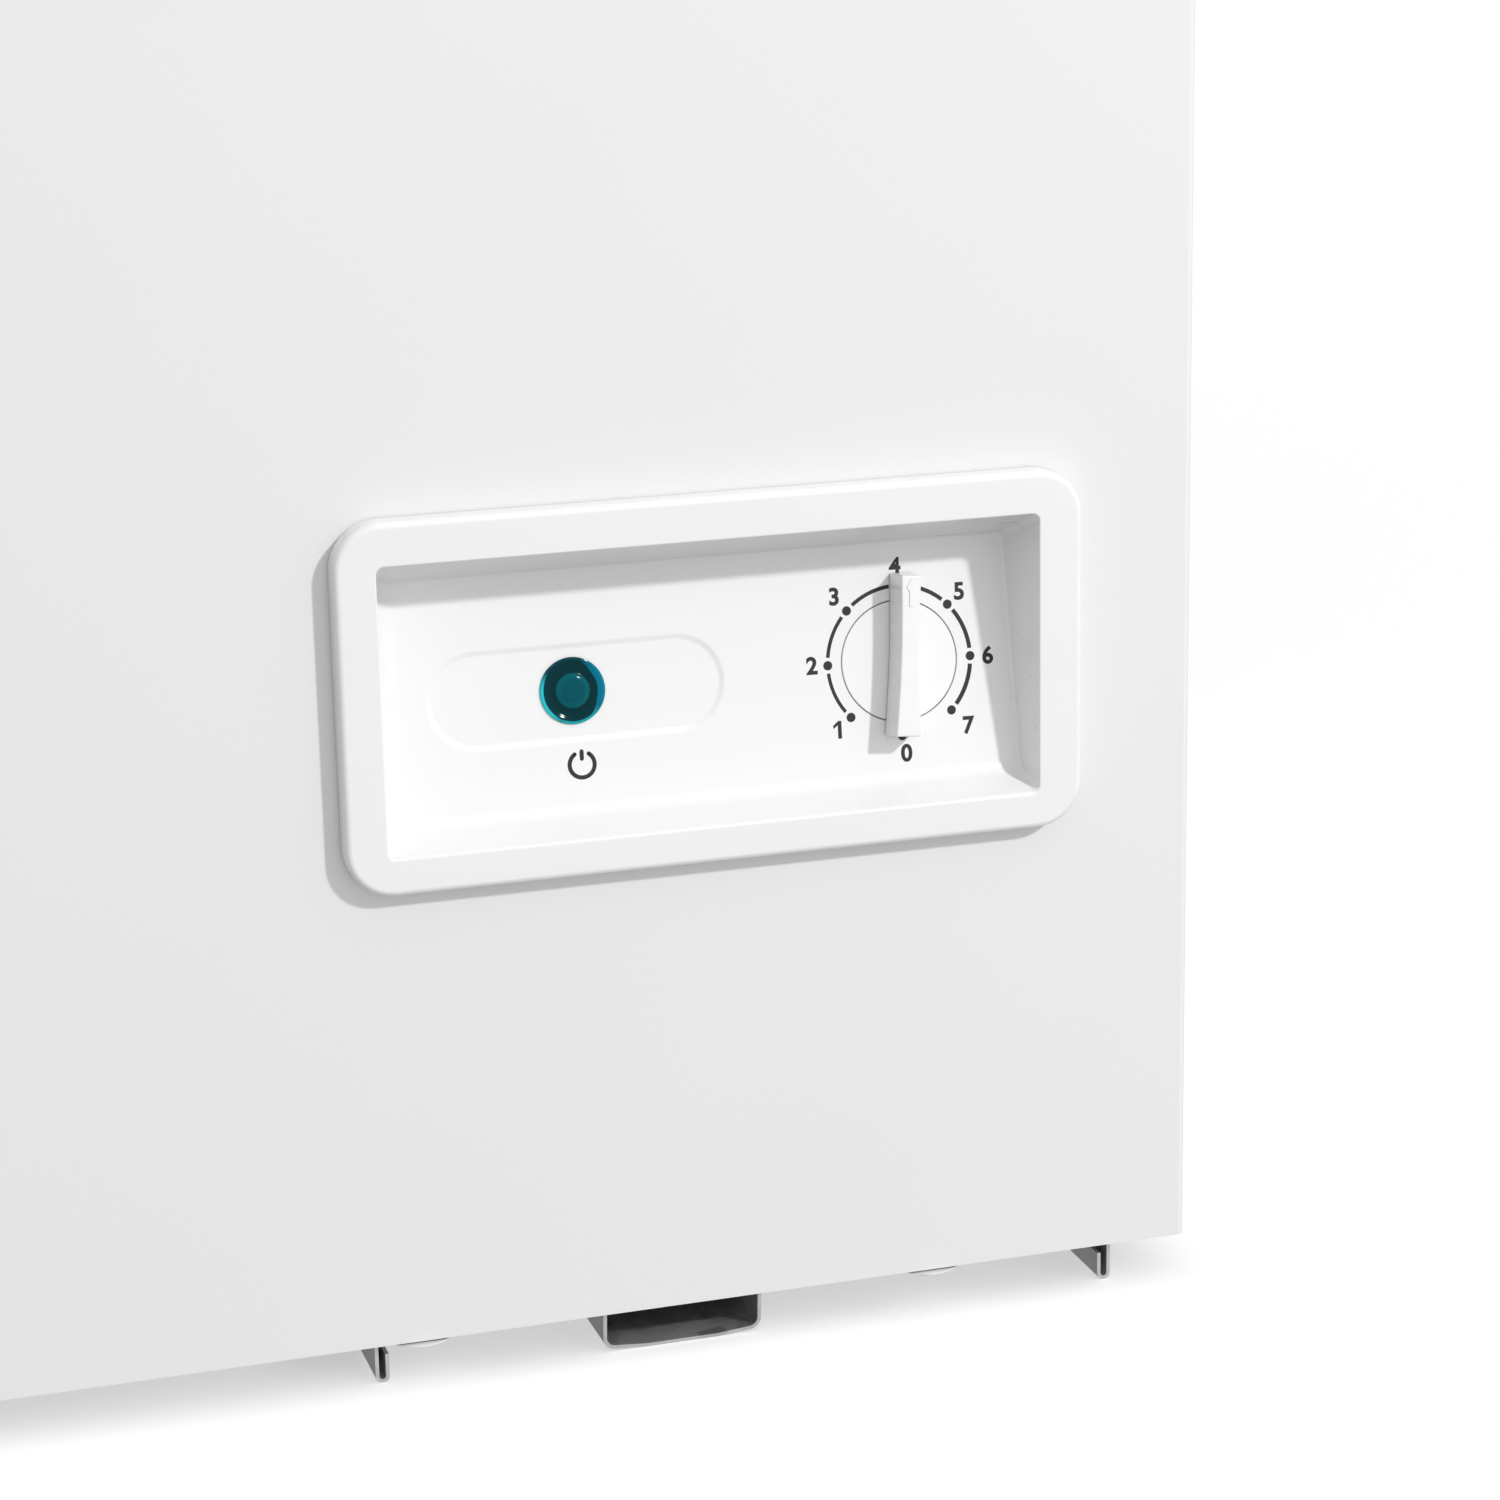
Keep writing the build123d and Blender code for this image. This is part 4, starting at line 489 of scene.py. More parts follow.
# ---------------------------------------------------------------- mesh making
class Shape:
    """A mesh in the making, shaped by bmesh operators and then laid in its place."""

    def __init__(self) -> None:
        """Starts an empty mesh."""
        self.bm = bmesh.new()

    def circle(self, radius: float, steps: int, height: float = 0.0) -> list[bmesh.types.BMVert]:
        """Adds a level circle round Z.

        Args:
            radius: its radius.
            steps: how many vertices it has.
            height: its place along Z.

        Returns:
            Its vertices in order.
        """
        spot = Matrix.Translation((0, 0, height))
        made = bmesh.ops.create_circle(self.bm, segments=steps, radius=radius, matrix=spot)
        return made["verts"]

    def ring(self, points: Sequence[Vector]) -> list[bmesh.types.BMVert]:
        """Adds a closed loop: a circle whose vertices are moved to the points.

        Args:
            points: where its vertices go.

        Returns:
            Its vertices in order.
        """
        loop = self.circle(1.0, len(points))
        for vert, point in zip(loop, points):
            vert.co = point
        return loop

    def edges(self, loop: Sequence[bmesh.types.BMVert]) -> list[bmesh.types.BMEdge]:
        """The edges between neighbours of a loop.

        Args:
            loop: its vertices in order.

        Returns:
            The edges, each once.
        """
        pairs = zip(loop, (*loop[1:], loop[0]))
        return [edge for a, b in pairs for edge in a.link_edges if edge.other_vert(a) is b]

    def bridge(self, loops: Sequence[Sequence[bmesh.types.BMVert]]) -> None:
        """Joins each loop to the next with a band of faces.

        Args:
            loops: loops of vertices, in order.
        """
        for first, second in zip(loops, loops[1:]):
            bmesh.ops.bridge_loops(self.bm, edges=self.edges(first) + self.edges(second))

    def fill(self, *loops: Sequence[bmesh.types.BMVert]) -> None:
        """Fills the flat space inside the first loop and outside the others.

        Args:
            loops: the outline, and any holes.
        """
        edges = [edge for loop in loops for edge in self.edges(loop)]
        bmesh.ops.triangle_fill(self.bm, use_beauty=True, edges=edges)

    def lathe(self, profile: Sequence[tuple[float, float]], steps: int) -> None:
        """Turns a profile round Z.

        Args:
            profile: (radius, height) pairs.
            steps: how many steps a full turn has.
        """
        verts = [self.bm.verts.new((radius, 0, height)) for radius, height in profile]
        edges = [self.bm.edges.new(pair) for pair in zip(verts, verts[1:])]
        bmesh.ops.spin(
            self.bm, geom=verts + edges, cent=(0, 0, 0), axis=(0, 0, 1), dvec=(0, 0, 0),
            angle=FULL_TURN, steps=steps, use_merge=True, use_duplicate=False,
        )

    def prism(self, points: Sequence[tuple[float, float]], low: float, high: float) -> None:
        """Adds a flat-sided prism along Z.

        Args:
            points: its outline.
            low: its lower face.
            high: its upper face.
        """
        face = self.bm.faces.new([self.bm.verts.new((x, y, low)) for x, y in points])
        raised = bmesh.ops.extrude_face_region(self.bm, geom=[face], use_keep_orig=True)["geom"]
        verts = [item for item in raised if isinstance(item, bmesh.types.BMVert)]
        bmesh.ops.translate(self.bm, vec=(0, 0, high - low), verts=verts)

    def arc(self, inner: float, outer: float, start: float, sweep: float, height: float) -> None:
        """Adds a flat part of a ring, standing on the XY plane.

        Args:
            inner: its inner radius.
            outer: its outer radius.
            start: the angle that it starts at, in radians.
            sweep: the angle that it covers.
            height: how thick it is.
        """
        verts = [self.bm.verts.new((r, 0, z)) for r, z in (
            (inner, 0), (outer, 0), (outer, height), (inner, height))]
        face = self.bm.faces.new(verts)
        turn = Matrix.Rotation(start, 3, "Z")
        bmesh.ops.rotate(self.bm, cent=(0, 0, 0), matrix=turn, verts=verts)
        steps = max(2, math.ceil(sweep / math.radians(4)))
        bmesh.ops.spin(
            self.bm, geom=[face, *face.edges, *verts], cent=(0, 0, 0), axis=(0, 0, 1),
            dvec=(0, 0, 0), angle=sweep, steps=steps, use_merge=False, use_duplicate=False,
        )
        bmesh.ops.holes_fill(self.bm, edges=self.bm.edges[:], sides=4)

    def ease(self, edges: Sequence[bmesh.types.BMEdge], radius: float, steps: int) -> None:
        """Rounds edges.

        Args:
            edges: the edges.
            radius: how far the rounding reaches.
            steps: its number of steps.
        """
        bmesh.ops.bevel(
            self.bm, geom=list(edges), offset=radius, offset_type="OFFSET", segments=steps,
            profile=0.5, affect="EDGES", material=-1, clamp_overlap=True,
        )

    def sharp_edges(self, angle: float = SMOOTH_ANGLE) -> list[bmesh.types.BMEdge]:
        """Edges whose two faces meet at more than an angle.

        Args:
            angle: the least angle, in radians.

        Returns:
            The edges.
        """
        self.bm.normal_update()
        return [e for e in self.bm.edges if e.is_manifold and e.calc_face_angle() > angle]

    def lay(self, spot: Matrix) -> "Shape":
        """Moves everything so far from local axes into place."""
        bmesh.ops.transform(self.bm, matrix=spot, verts=self.bm.verts[:])
        return self

    def mesh(self, name: str, outward: bool = True) -> bpy.types.Mesh:
        """Merges doubles, turns the faces outwards and makes the mesh.

        Args:
            name: the mesh's name.
            outward: whether normals are worked out again, as on a closed form.

        Returns:
            The mesh.
        """
        bmesh.ops.remove_doubles(self.bm, verts=self.bm.verts[:], dist=0.0005 * MM)
        if outward:
            bmesh.ops.recalc_face_normals(self.bm, faces=self.bm.faces[:])
        made = bpy.data.meshes.new(name)
        self.bm.to_mesh(made)
        self.bm.free()
        return made


def stand(
    mesh: bpy.types.Mesh, body: str, finish: Finish, nodes: Sequence[str] = ()
) -> bpy.types.Object:
    """Makes a finished piece of a mesh.

    Args:
        mesh: the mesh, in place; the piece takes its name.
        body: the body that the piece rides on.
        finish: its finish.
        nodes: the frame's nodes that it stands for.

    Returns:
        The piece.
    """
    piece = bpy.data.objects.new(mesh.name, mesh)
    bpy.context.scene.collection.objects.link(piece)
    mesh.materials.clear()
    mesh.materials.append(finish.material())
    mesh.shade_smooth()
    mesh.set_sharp_from_angle(angle=SMOOTH_ANGLE)
    weigh = piece.modifiers.new("even_normals", "WEIGHTED_NORMAL")
    weigh.keep_sharp = True
    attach(piece, body)
    if nodes:
        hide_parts(*nodes)
    LOG.info("%s: %d faces, rides on %s", mesh.name, len(mesh.polygons), body)
    return piece


def rounded_rectangle(
    left: float, right: float, low: float, high: float, radius: float, steps: int
) -> list[tuple[float, float, float]]:
    """Points round a rectangle with arcs at its corners.

    Args:
        left: its lowest x.
        right: its highest x.
        low: its lowest y.
        high: its highest y.
        radius: its corners' radius.
        steps: steps in each corner's arc.

    Returns:
        (x, y, turn) for each point, where turn is the angle that the outline faces there.
    """
    points = []
    for quarter in range(4):
        x = (right - radius) if quarter in (0, 3) else (left + radius)
        y = (high - radius) if quarter in (0, 1) else (low + radius)
        for step in range(steps + 1):
            turn = (quarter + step / steps) * math.pi / 2
            points.append((x + radius * math.cos(turn), y + radius * math.sin(turn), turn))
    return points


def bent_path(corners: Sequence[Vector], radius: float, closed: bool, steps: int = 6) -> list[Vector]:
    """A path of straight runs whose corners are arcs.

    Args:
        corners: where the runs would meet.
        radius: the arcs' radius.
        closed: whether the last run goes back to the first corner.
        steps: steps in each arc.

    Returns:
        The path's points.
    """
    path = []
    count = len(corners)
    for index, corner in enumerate(corners):
        if not closed and index in (0, count - 1):
            path.append(corner)
            continue
        before = (corners[index - 1] - corner).normalized()
        after = (corners[(index + 1) % count] - corner).normalized()
        half = before.angle(after) / 2
        centre = corner + (before + after).normalized() * (radius / math.sin(half))
        start = corner + before * (radius / math.tan(half)) - centre
        end = corner + after * (radius / math.tan(half)) - centre
        turns = [start.slerp(end, step / steps) for step in range(steps + 1)]
        path += [centre + turn.normalized() * radius for turn in turns]
    return path


def wires(name: str, paths: Sequence[tuple[Sequence[Vector], bool, float]]) -> bpy.types.Mesh:
    """Round wires along paths, as one mesh.

    Args:
        name: the mesh's name.
        paths: (points, closed, radius) for each wire.

    Returns:
        The mesh.
    """
    curve = bpy.data.curves.new(name, "CURVE")
    curve.dimensions = "3D"
    curve.bevel_depth = 1.0
    curve.bevel_resolution = 2
    curve.use_fill_caps = True
    for points, closed, radius in paths:
        spline = curve.splines.new("POLY")
        spline.points.add(len(points) - 1)
        for knot, point in zip(spline.points, points):
            knot.co = (*point, 1.0)
            knot.radius = radius
        spline.use_cyclic_u = closed
    holder = bpy.data.objects.new(name, curve)
    made = bpy.data.meshes.new_from_object(holder)
    made.name = name
    bpy.data.objects.remove(holder)
    bpy.data.curves.remove(curve)
    return made


# ---------------------------------------------------------------- control panel
@dataclass(frozen=True)
class RecessSide:
    """One side wall of the recess: its draft in degrees, and the rounding at its lip and foot."""

    draft: float
    lip: float
    foot: float

    def inset(self, down: float, depth: float) -> float:
        """How far the wall has come in from the mouth.

        Args:
            down: how far below the frame's face.
            depth: how deep the dial plate is there.

        Returns:
            The inset.
        """
        lean = math.radians(self.draft)
        if down < self.lip * (1 - math.sin(lean)):
            reach = self.lip * (1 / math.cos(lean) - math.tan(lean))
            return math.sqrt(max(0.0, self.lip ** 2 - (self.lip - down) ** 2)) - reach
        low = down - depth + self.foot
        if low > self.foot * math.sin(lean):
            centre = (depth - self.foot) * math.tan(lean) + self.foot / math.cos(lean)
            return centre - math.sqrt(max(0.0, self.foot ** 2 - low ** 2))
        return down * math.tan(lean)


@dataclass
class ControlPanel:
    """The moulded frame with its leaning dial plate, the knob, the lamp and the print."""

    frame_left: float = 10.9 * MM
    frame_right: float = 12.2 * MM
    frame_top: float = 11.2 * MM
    frame_bottom: float = 10.0 * MM
    corner: float = 12.5 * MM
    edge: float = 1.8 * MM
    gap_under: float = 0.45 * MM
    gap_inset: float = 1.5 * MM
    mouth_corner: float = 2.0 * MM
    plate_depth: float = 16.1 * MM
    plate_lean: float = 9.0
    left: RecessSide = RecessSide(7.5, 0.45 * MM, 7.0 * MM)
    right: RecessSide = RecessSide(7.5, 0.45 * MM, 1.0 * MM)
    top: RecessSide = RecessSide(23.0, 0.45 * MM, 1.0 * MM)
    bottom: RecessSide = RecessSide(21.0, 1.2 * MM, 4.0 * MM)
    corner_steps: int = 8
    dimple_middle: tuple[float, float] = (-34.5 * MM, -3.3 * MM)
    dimple_length: float = 80.5 * MM
    dimple_width: float = 26.5 * MM
    dimple_depth: float = 0.55 * MM
    dimple_edge: float = 2.0 * MM
    lamp: tuple[float, float] = (-35.6 * MM, -2.8 * MM)
    lamp_radius: float = 8.75 * MM
    lamp_lap: float = 0.4 * MM
    lamp_taper: float = 0.5 * MM
    lamp_sink: float = 1.0 * MM
    symbol: tuple[float, float] = (-34.5 * MM, -22.2 * MM)
    dial: tuple[float, float] = (54.0 * MM, -2.9 * MM)
    knob_radius: float = 16.0 * MM
    knob_gap: float = 0.3 * MM
    knob_disc: float = 2.2 * MM
    knob_edge: float = 0.15 * MM
    pocket_edge: float = 0.12 * MM
    grip_turn: float = 4.5
    grip_up: float = 23 * MM
    grip_down: float = 19.5 * MM
    grip_tip: float = 2.75 * MM
    grip_tail: float = 3.5 * MM
    grip_draft: float = 0.35 * MM
    grip_waist: float = 0.6 * MM
    grip_high: float = 9.0 * MM
    grip_edge: float = 0.4 * MM
    grip_foot: float = 0.4 * MM
    print_turn: float = 1.2
    print_height: float = 0.03 * MM
    letter_size: float = 6.3 * MM
    letter_weight: float = 0.21 * MM

    def __post_init__(self) -> None:
        """Reads the panel's place from the frame."""
        low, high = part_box("control_bezel")
        self.face = low.y
        self.middle = (low + high) / 2
        self.half_w = (high.x - low.x) / 2
        self.half_h = (high.z - low.z) / 2
        self.panel_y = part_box("front_panel")[0].y
        self.slope = math.tan(math.radians(self.plate_lean))
        lean = math.radians(self.plate_lean)
        self.plate = Matrix((
            (1, 0, 0, self.middle.x),
            (0, math.sin(lean), -math.cos(lean), self.face + self.plate_depth),
            (0, math.cos(lean), math.sin(lean), self.middle.z),
            (0, 0, 0, 1),
        ))

    def on_plate(self, spot: tuple[float, float], height: float = 0.0, turn: float = 0.0) -> Matrix:
        """Local axes on the dial plate: x across, y up the slope and z towards the user.

        Args:
            spot: the place across and up.
            height: how far in front of the plate.
            turn: how far the axes are turned counterclockwise, in degrees.

        Returns:
            The place.
        """
        return self.plate @ Matrix.Translation((*spot, height)) @ Matrix.Rotation(
            math.radians(turn), 4, "Z"
        )

    def frame_loop(self, inset: float, out: float) -> list[Vector]:
        """A loop round the frame's outer edge.

        Args:
            inset: how far inside the edge it is.
            out: how far in front of the cabinet's sheet.

        Returns:
            Its points, round the middle of the panel.
        """
        wide, tall = self.half_w - inset, self.half_h - inset
        points = rounded_rectangle(-wide, wide, -tall, tall, self.corner - inset, self.corner_steps)
        return [Vector((self.middle.x + x, self.panel_y - out, self.middle.z + z)) for x, z, _ in points]

    def recess_loop(self, below_face: float, above_plate: float) -> list[Vector]:
        """A loop inside the recess, at a level by the frame's face or by the dial plate.

        Args:
            below_face: how far below the face, or nothing for a level by the plate.
            above_plate: how far above the plate.

        Returns:
            Its points.
        """
        points = []
        for quarter in range(4):
            across = self.right if quarter in (0, 3) else self.left
            upright = self.top if quarter in (0, 1) else self.bottom
            sign_x = 1 if quarter in (0, 3) else -1
            sign_z = 1 if quarter in (0, 1) else -1
            wide = self.half_w - (self.frame_right if sign_x > 0 else self.frame_left)
            tall = self.half_h - (self.frame_top if sign_z > 0 else self.frame_bottom)
            z = sign_z * tall
            for _ in range(6):
                depth = self.plate_depth + z * self.slope
                down = below_face if above_plate is None else depth - above_plate
                z = sign_z * (tall - upright.inset(down, depth))
            x = sign_x * (wide - across.inset(down, depth))
            radius = self.mouth_corner + max(0.0, abs(x) - wide)
            for step in range(self.corner_steps + 1):
                turn = (quarter + step / self.corner_steps) * math.pi / 2
                spot_x = x + radius * (math.cos(turn) - sign_x)
                spot_z = z + radius * (math.sin(turn) - sign_z)
                level = self.plate_depth + spot_z * self.slope - (above_plate or 0.0)
                sink = below_face if above_plate is None else level
                points.append(Vector((
                    self.middle.x + spot_x, self.face + sink, self.middle.z + spot_z
                )))
        return points

    def recess_levels(self) -> list[tuple[float, float | None]]:
        """Levels of the recess's loops, from the face to the plate."""
        lip = max(side.lip for side in (self.left, self.right, self.top, self.bottom))
        foot = max(side.foot for side in (self.left, self.right, self.top, self.bottom))
        near = [lip * (1 - math.cos(math.radians(turn))) for turn in (0, 20, 40, 55, 70, 90)]
        far = [foot * (1 - math.sin(math.radians(turn))) for turn in (10, 20, 30, 40, 50, 60, 70, 80, 90)]
        return [(down, None) for down in near] + [(0.0, up) for up in far]

    def bezel(self) -> None:
        """Builds the frame, the recess, the dimple and the knob's pocket in one piece."""
        shape = Shape()
        proud = self.panel_y - self.face
        outer = [(self.gap_inset, 0.0), (self.gap_inset, self.gap_under), (0.0, self.gap_under)]
        for step in range(self.corner_steps + 1):
            turn = math.pi / 2 * step / self.corner_steps
            inset = self.edge * (1 - math.cos(turn))
            outer.append((inset, proud - self.edge * (1 - math.sin(turn))))
        rims = [shape.ring(self.frame_loop(inset, out)) for inset, out in outer]
        loops = [shape.ring(self.recess_loop(*level)) for level in self.recess_levels()]
        shape.bridge(rims)
        shape.bridge(loops)
        shape.fill(rims[-1], loops[0])
        shape.lay(self.plate.inverted())
        dimple = self.dimple(shape)
        pocket = self.pocket(shape)
        shape.fill(loops[-1], dimple, pocket)
        shape.lay(self.plate)
        mesh = shape.mesh("control_bezel_moulding")
        stand(mesh, "cabinet", Look.BEZEL_PLASTIC.value, ["control_bezel"])

    def dimple(self, shape: Shape) -> list[bmesh.types.BMVert]:
        """Adds the long dimple round the lamp.

        Args:
            shape: the bezel in the plate's axes.

        Returns:
            The dimple's outer loop.
        """
        steps = 6
        loops = []
        for step in range(steps + 1):
            share = step / steps
            inset = self.dimple_edge * share
            drop = -self.dimple_depth * (1 - math.cos(math.pi * share)) / 2
            half = self.dimple_length / 2 - inset
            wide = self.dimple_width / 2 - inset
            outline = rounded_rectangle(-half, half, -wide, wide, wide * 0.999, 12)
            u, v = self.dimple_middle
            loops.append(shape.ring([Vector((u + x, v + y, drop)) for x, y, _ in outline]))
        shape.bridge(loops)
        hole = shape.circle(self.lamp_radius - self.lamp_lap, 48, -self.dimple_depth)
        bmesh.ops.translate(shape.bm, vec=(*self.lamp, 0), verts=hole)
        shape.fill(loops[-1], hole)
        return loops[0]

    def pocket(self, shape: Shape) -> list[bmesh.types.BMVert]:
        """Adds the round pocket that the knob's disc sits in.

        Args:
            shape: the bezel in the plate's axes.

        Returns:
            The pocket's outer loop.
        """
        radius = self.knob_radius + self.knob_gap
        rounding = self.pocket_edge
        levels = (
            (radius + rounding, 0.0), (radius + 0.3 * rounding, -0.3 * rounding),
            (radius, -rounding), (radius, -self.knob_disc - self.knob_gap),
        )
        loops = [shape.circle(reach, 96, drop) for reach, drop in levels]
        for loop in loops:
            bmesh.ops.translate(shape.bm, vec=(*self.dial, 0), verts=loop)
        shape.bridge(loops)
        shape.fill(loops[-1])
        return loops[0]

    def knob(self) -> None:
        """Builds the disc and the tall grip, with a raised arrow by its pointer end."""
        shape = Shape()
        radius, rounding = self.knob_radius, self.knob_edge
        shape.lathe(
            [(0, 0), (radius - rounding, 0), (radius, -rounding), (radius, -self.knob_disc),
             (0, -self.knob_disc)], 96,
        )
        disc = shape.lay(self.on_plate(self.dial, turn=-self.grip_turn)).mesh("knob_disc")
        stand(disc, "dial_knob", Look.KNOB_PLASTIC.value, ["knob"])
        self.grip()
        self.arrow()

    def grip_loop(self, draft: float, waist: float, height: float) -> list[Vector]:
        """A loop round the grip, which is narrower at its pointer and at its waist.

        Args:
            draft: how far outside the front face's outline it is.
            waist: how far its long sides bow in.
            height: its place in front of the disc.

        Returns:
            Its points.
        """
        steps = 12
        points = []
        for side in (1, -1):
            for step in range(steps + 1):
                share = step / steps if side > 0 else 1 - step / steps
                half = self.grip_tail + (self.grip_tip - self.grip_tail) * share + draft
                x = side * (half - waist * math.sin(math.pi * share))
                y = -self.grip_down - draft + (self.grip_up + self.grip_down + 2 * draft) * share
                points.append(Vector((x, y, height)))
        return points

    def grip(self) -> None:
        """Builds the grip: drafted, waisted at its front and eased all round."""
        shape = Shape()
        foot = shape.ring(self.grip_loop(self.grip_draft, self.grip_waist, self.grip_foot))
        front = shape.ring(self.grip_loop(0.0, self.grip_waist, self.grip_high))
        shape.bridge([foot, front])
        shape.fill(front)
        shape.ease(shape.sharp_edges(math.radians(25)), self.grip_edge, 3)
        place = self.on_plate(self.dial, turn=-self.grip_turn)
        stand(shape.lay(place).mesh("knob_grip"), "dial_knob", Look.KNOB_PLASTIC.value)

    def arrow(self) -> None:
        """Builds the small raised arrow on the grip's front."""
        shape = Shape()
        stem, head = 0.5 * MM, 1.3 * MM
        foot, neck, shoulder, point = 14.9 * MM, 18.7 * MM, 20.0 * MM, 22.0 * MM
        outline = [
            (-stem, foot), (stem, foot), (stem, neck), (head, shoulder), (0, point),
            (-head, shoulder), (-stem, neck),
        ]
        shape.prism(outline, self.grip_high - 0.2 * MM, self.grip_high + 0.25 * MM)
        place = self.on_plate(self.dial, turn=-self.grip_turn)
        stand(shape.lay(place).mesh("knob_arrow"), "dial_knob", Look.KNOB_PLASTIC.value)

    def lens(self) -> None:
        """Builds the lens: a rounded rim, a groove and a low dome in its middle."""
        shape = Shape()
        radius = self.lamp_radius
        base = -self.dimple_depth
        rim = [(0.80, 0.45), (0.86, 0.72), (0.93, 0.8), (0.98, 0.65), (1.0, 0.35), (1.0, 0.0)]
        dome = [(0.0, 1.15), (0.2, 1.1), (0.36, 0.95), (0.46, 0.72), (0.52, 0.45), (0.56, 0.25), (0.7, 0.2)]
        profile = [(radius * share, base + height * MM) for share, height in dome + rim]
        profile += [(radius - self.lamp_taper, base - self.lamp_sink), (0, base - self.lamp_sink)]
        shape.lathe(profile, 96)
        spot = self.on_plate(self.lamp)
        finish = TintedLens("turquoise_lens", "teal_lens", (0, 0.36, 0.42), 0.08, spot, radius)
        stand(shape.lay(spot).mesh("lamp_lens_moulding"), "cabinet", finish, ["lamp_lens"])

    def dial_print(self) -> None:
        """Prints the dots, the arcs between them and the numerals 0 to 7."""
        shape = Shape()
        radius, dot, gap, high = 20.0 * MM, 1.25 * MM, 2.1 * MM, self.print_height
        gap_turn = gap / radius
        for number in range(8):
            turn = math.radians(270 - 45 * number)
            if number != 4:
                spot = Matrix.Translation((radius * math.cos(turn), radius * math.sin(turn), high / 2))
                bmesh.ops.create_cone(
                    shape.bm, cap_ends=True, segments=24, radius1=dot, radius2=dot, depth=high,
                    matrix=spot,
                )
            if number in (0, 7):
                continue
            thick = (0.44 + 0.025 * number) * MM
            start = turn - math.radians(45) + gap_turn
            shape.arc(radius - thick, radius + thick, start, math.radians(45) - 2 * gap_turn, high)
        place = self.on_plate(self.dial, turn=-self.print_turn)
        stand(shape.lay(place).mesh("dial_scale_print"), "cabinet", Look.INK.value)
        numerals = (
            (0.5, -24.7), (-18.4, -16.8), (-24.4, 0.8), (-17.1, 18.5), (0.3, 25.2), (17.9, 17.1),
            (25.0, -0.6), (18.5, -18.9),
        )
        for number, (across, up) in enumerate(numerals):
            spot = (self.dial[0] + across * MM, self.dial[1] + up * MM)
            self.numeral(str(number), spot)

    def numeral(self, text: str, spot: tuple[float, float]) -> None:
        """Prints one numeral.

        Args:
            text: the numeral.
            spot: its middle on the plate.
        """
        letters = bpy.data.curves.new(f"numeral_{text}", "FONT")
        letters.body = text
        letters.size = self.letter_size
        letters.offset = self.letter_weight
        letters.extrude = self.print_height
        letters.resolution_u = 6
        holder = bpy.data.objects.new(letters.name, letters)
        shape = Shape()
        flat = bpy.data.meshes.new_from_object(holder)
        shape.bm.from_mesh(flat)
        bpy.data.meshes.remove(flat)
        bpy.data.objects.remove(holder)
        bpy.data.curves.remove(letters)
        if text == "1":
            self.flag(shape)
        across = [vert.co.x for vert in shape.bm.verts]
        up = [vert.co.y for vert in shape.bm.verts]
        centre = ((min(across) + max(across)) / 2, (min(up) + max(up)) / 2, 0)
        shape.lay(Matrix.Translation(centre).inverted())
        shape.lay(self.on_plate(spot, turn=-self.print_turn))
        stand(shape.mesh(f"numeral_{text}_print"), "cabinet", Look.INK.value)

    def flag(self, shape: Shape) -> None:
        """Adds the slanting stroke at the top of a plain 1.

        Args:
            shape: the numeral, flat on the XY plane.
        """
        left = min(vert.co.x for vert in shape.bm.verts)
        top = max(vert.co.y for vert in shape.bm.verts)
        reach, drop, stroke = 1.25 * MM, 1.15 * MM, 0.95 * MM
        outline = [
            (left + 0.2 * MM, top), (left - reach, top - drop), (left - reach, top - drop - stroke),
            (left + 0.2 * MM, top - stroke),
        ]
        shape.prism(outline, -self.print_height, self.print_height)

    def standby_print(self) -> None:
        """Prints the standby symbol: an open ring with a bar in its gap."""
        shape = Shape()
        radius, half, high = 3.35 * MM, 0.55 * MM, self.print_height
        opening = math.radians(34)
        start = math.pi / 2 + opening
        sweep = FULL_TURN - 2 * opening
        shape.arc(radius - half, radius + half, start, sweep, high)
        for turn in (start, start + sweep):
            spot = Matrix.Translation((radius * math.cos(turn), radius * math.sin(turn), high / 2))
            bmesh.ops.create_cone(
                shape.bm, cap_ends=True, segments=16, radius1=half, radius2=half, depth=high, matrix=spot
            )
        low, top = 1.0 * MM, 4.0 * MM
        outline = [(x, y) for x, y, _ in rounded_rectangle(-half, half, low, top, half * 0.99, 6)]
        shape.prism(outline, 0, high)
        place = self.on_plate(self.symbol, turn=-self.print_turn)
        stand(shape.lay(place).mesh("standby_print"), "cabinet", Look.INK.value)

    def build(self) -> None:
        """Builds the whole panel."""
        self.bezel()
        self.knob()
        self.lens()
        self.dial_print()
        self.standby_print()


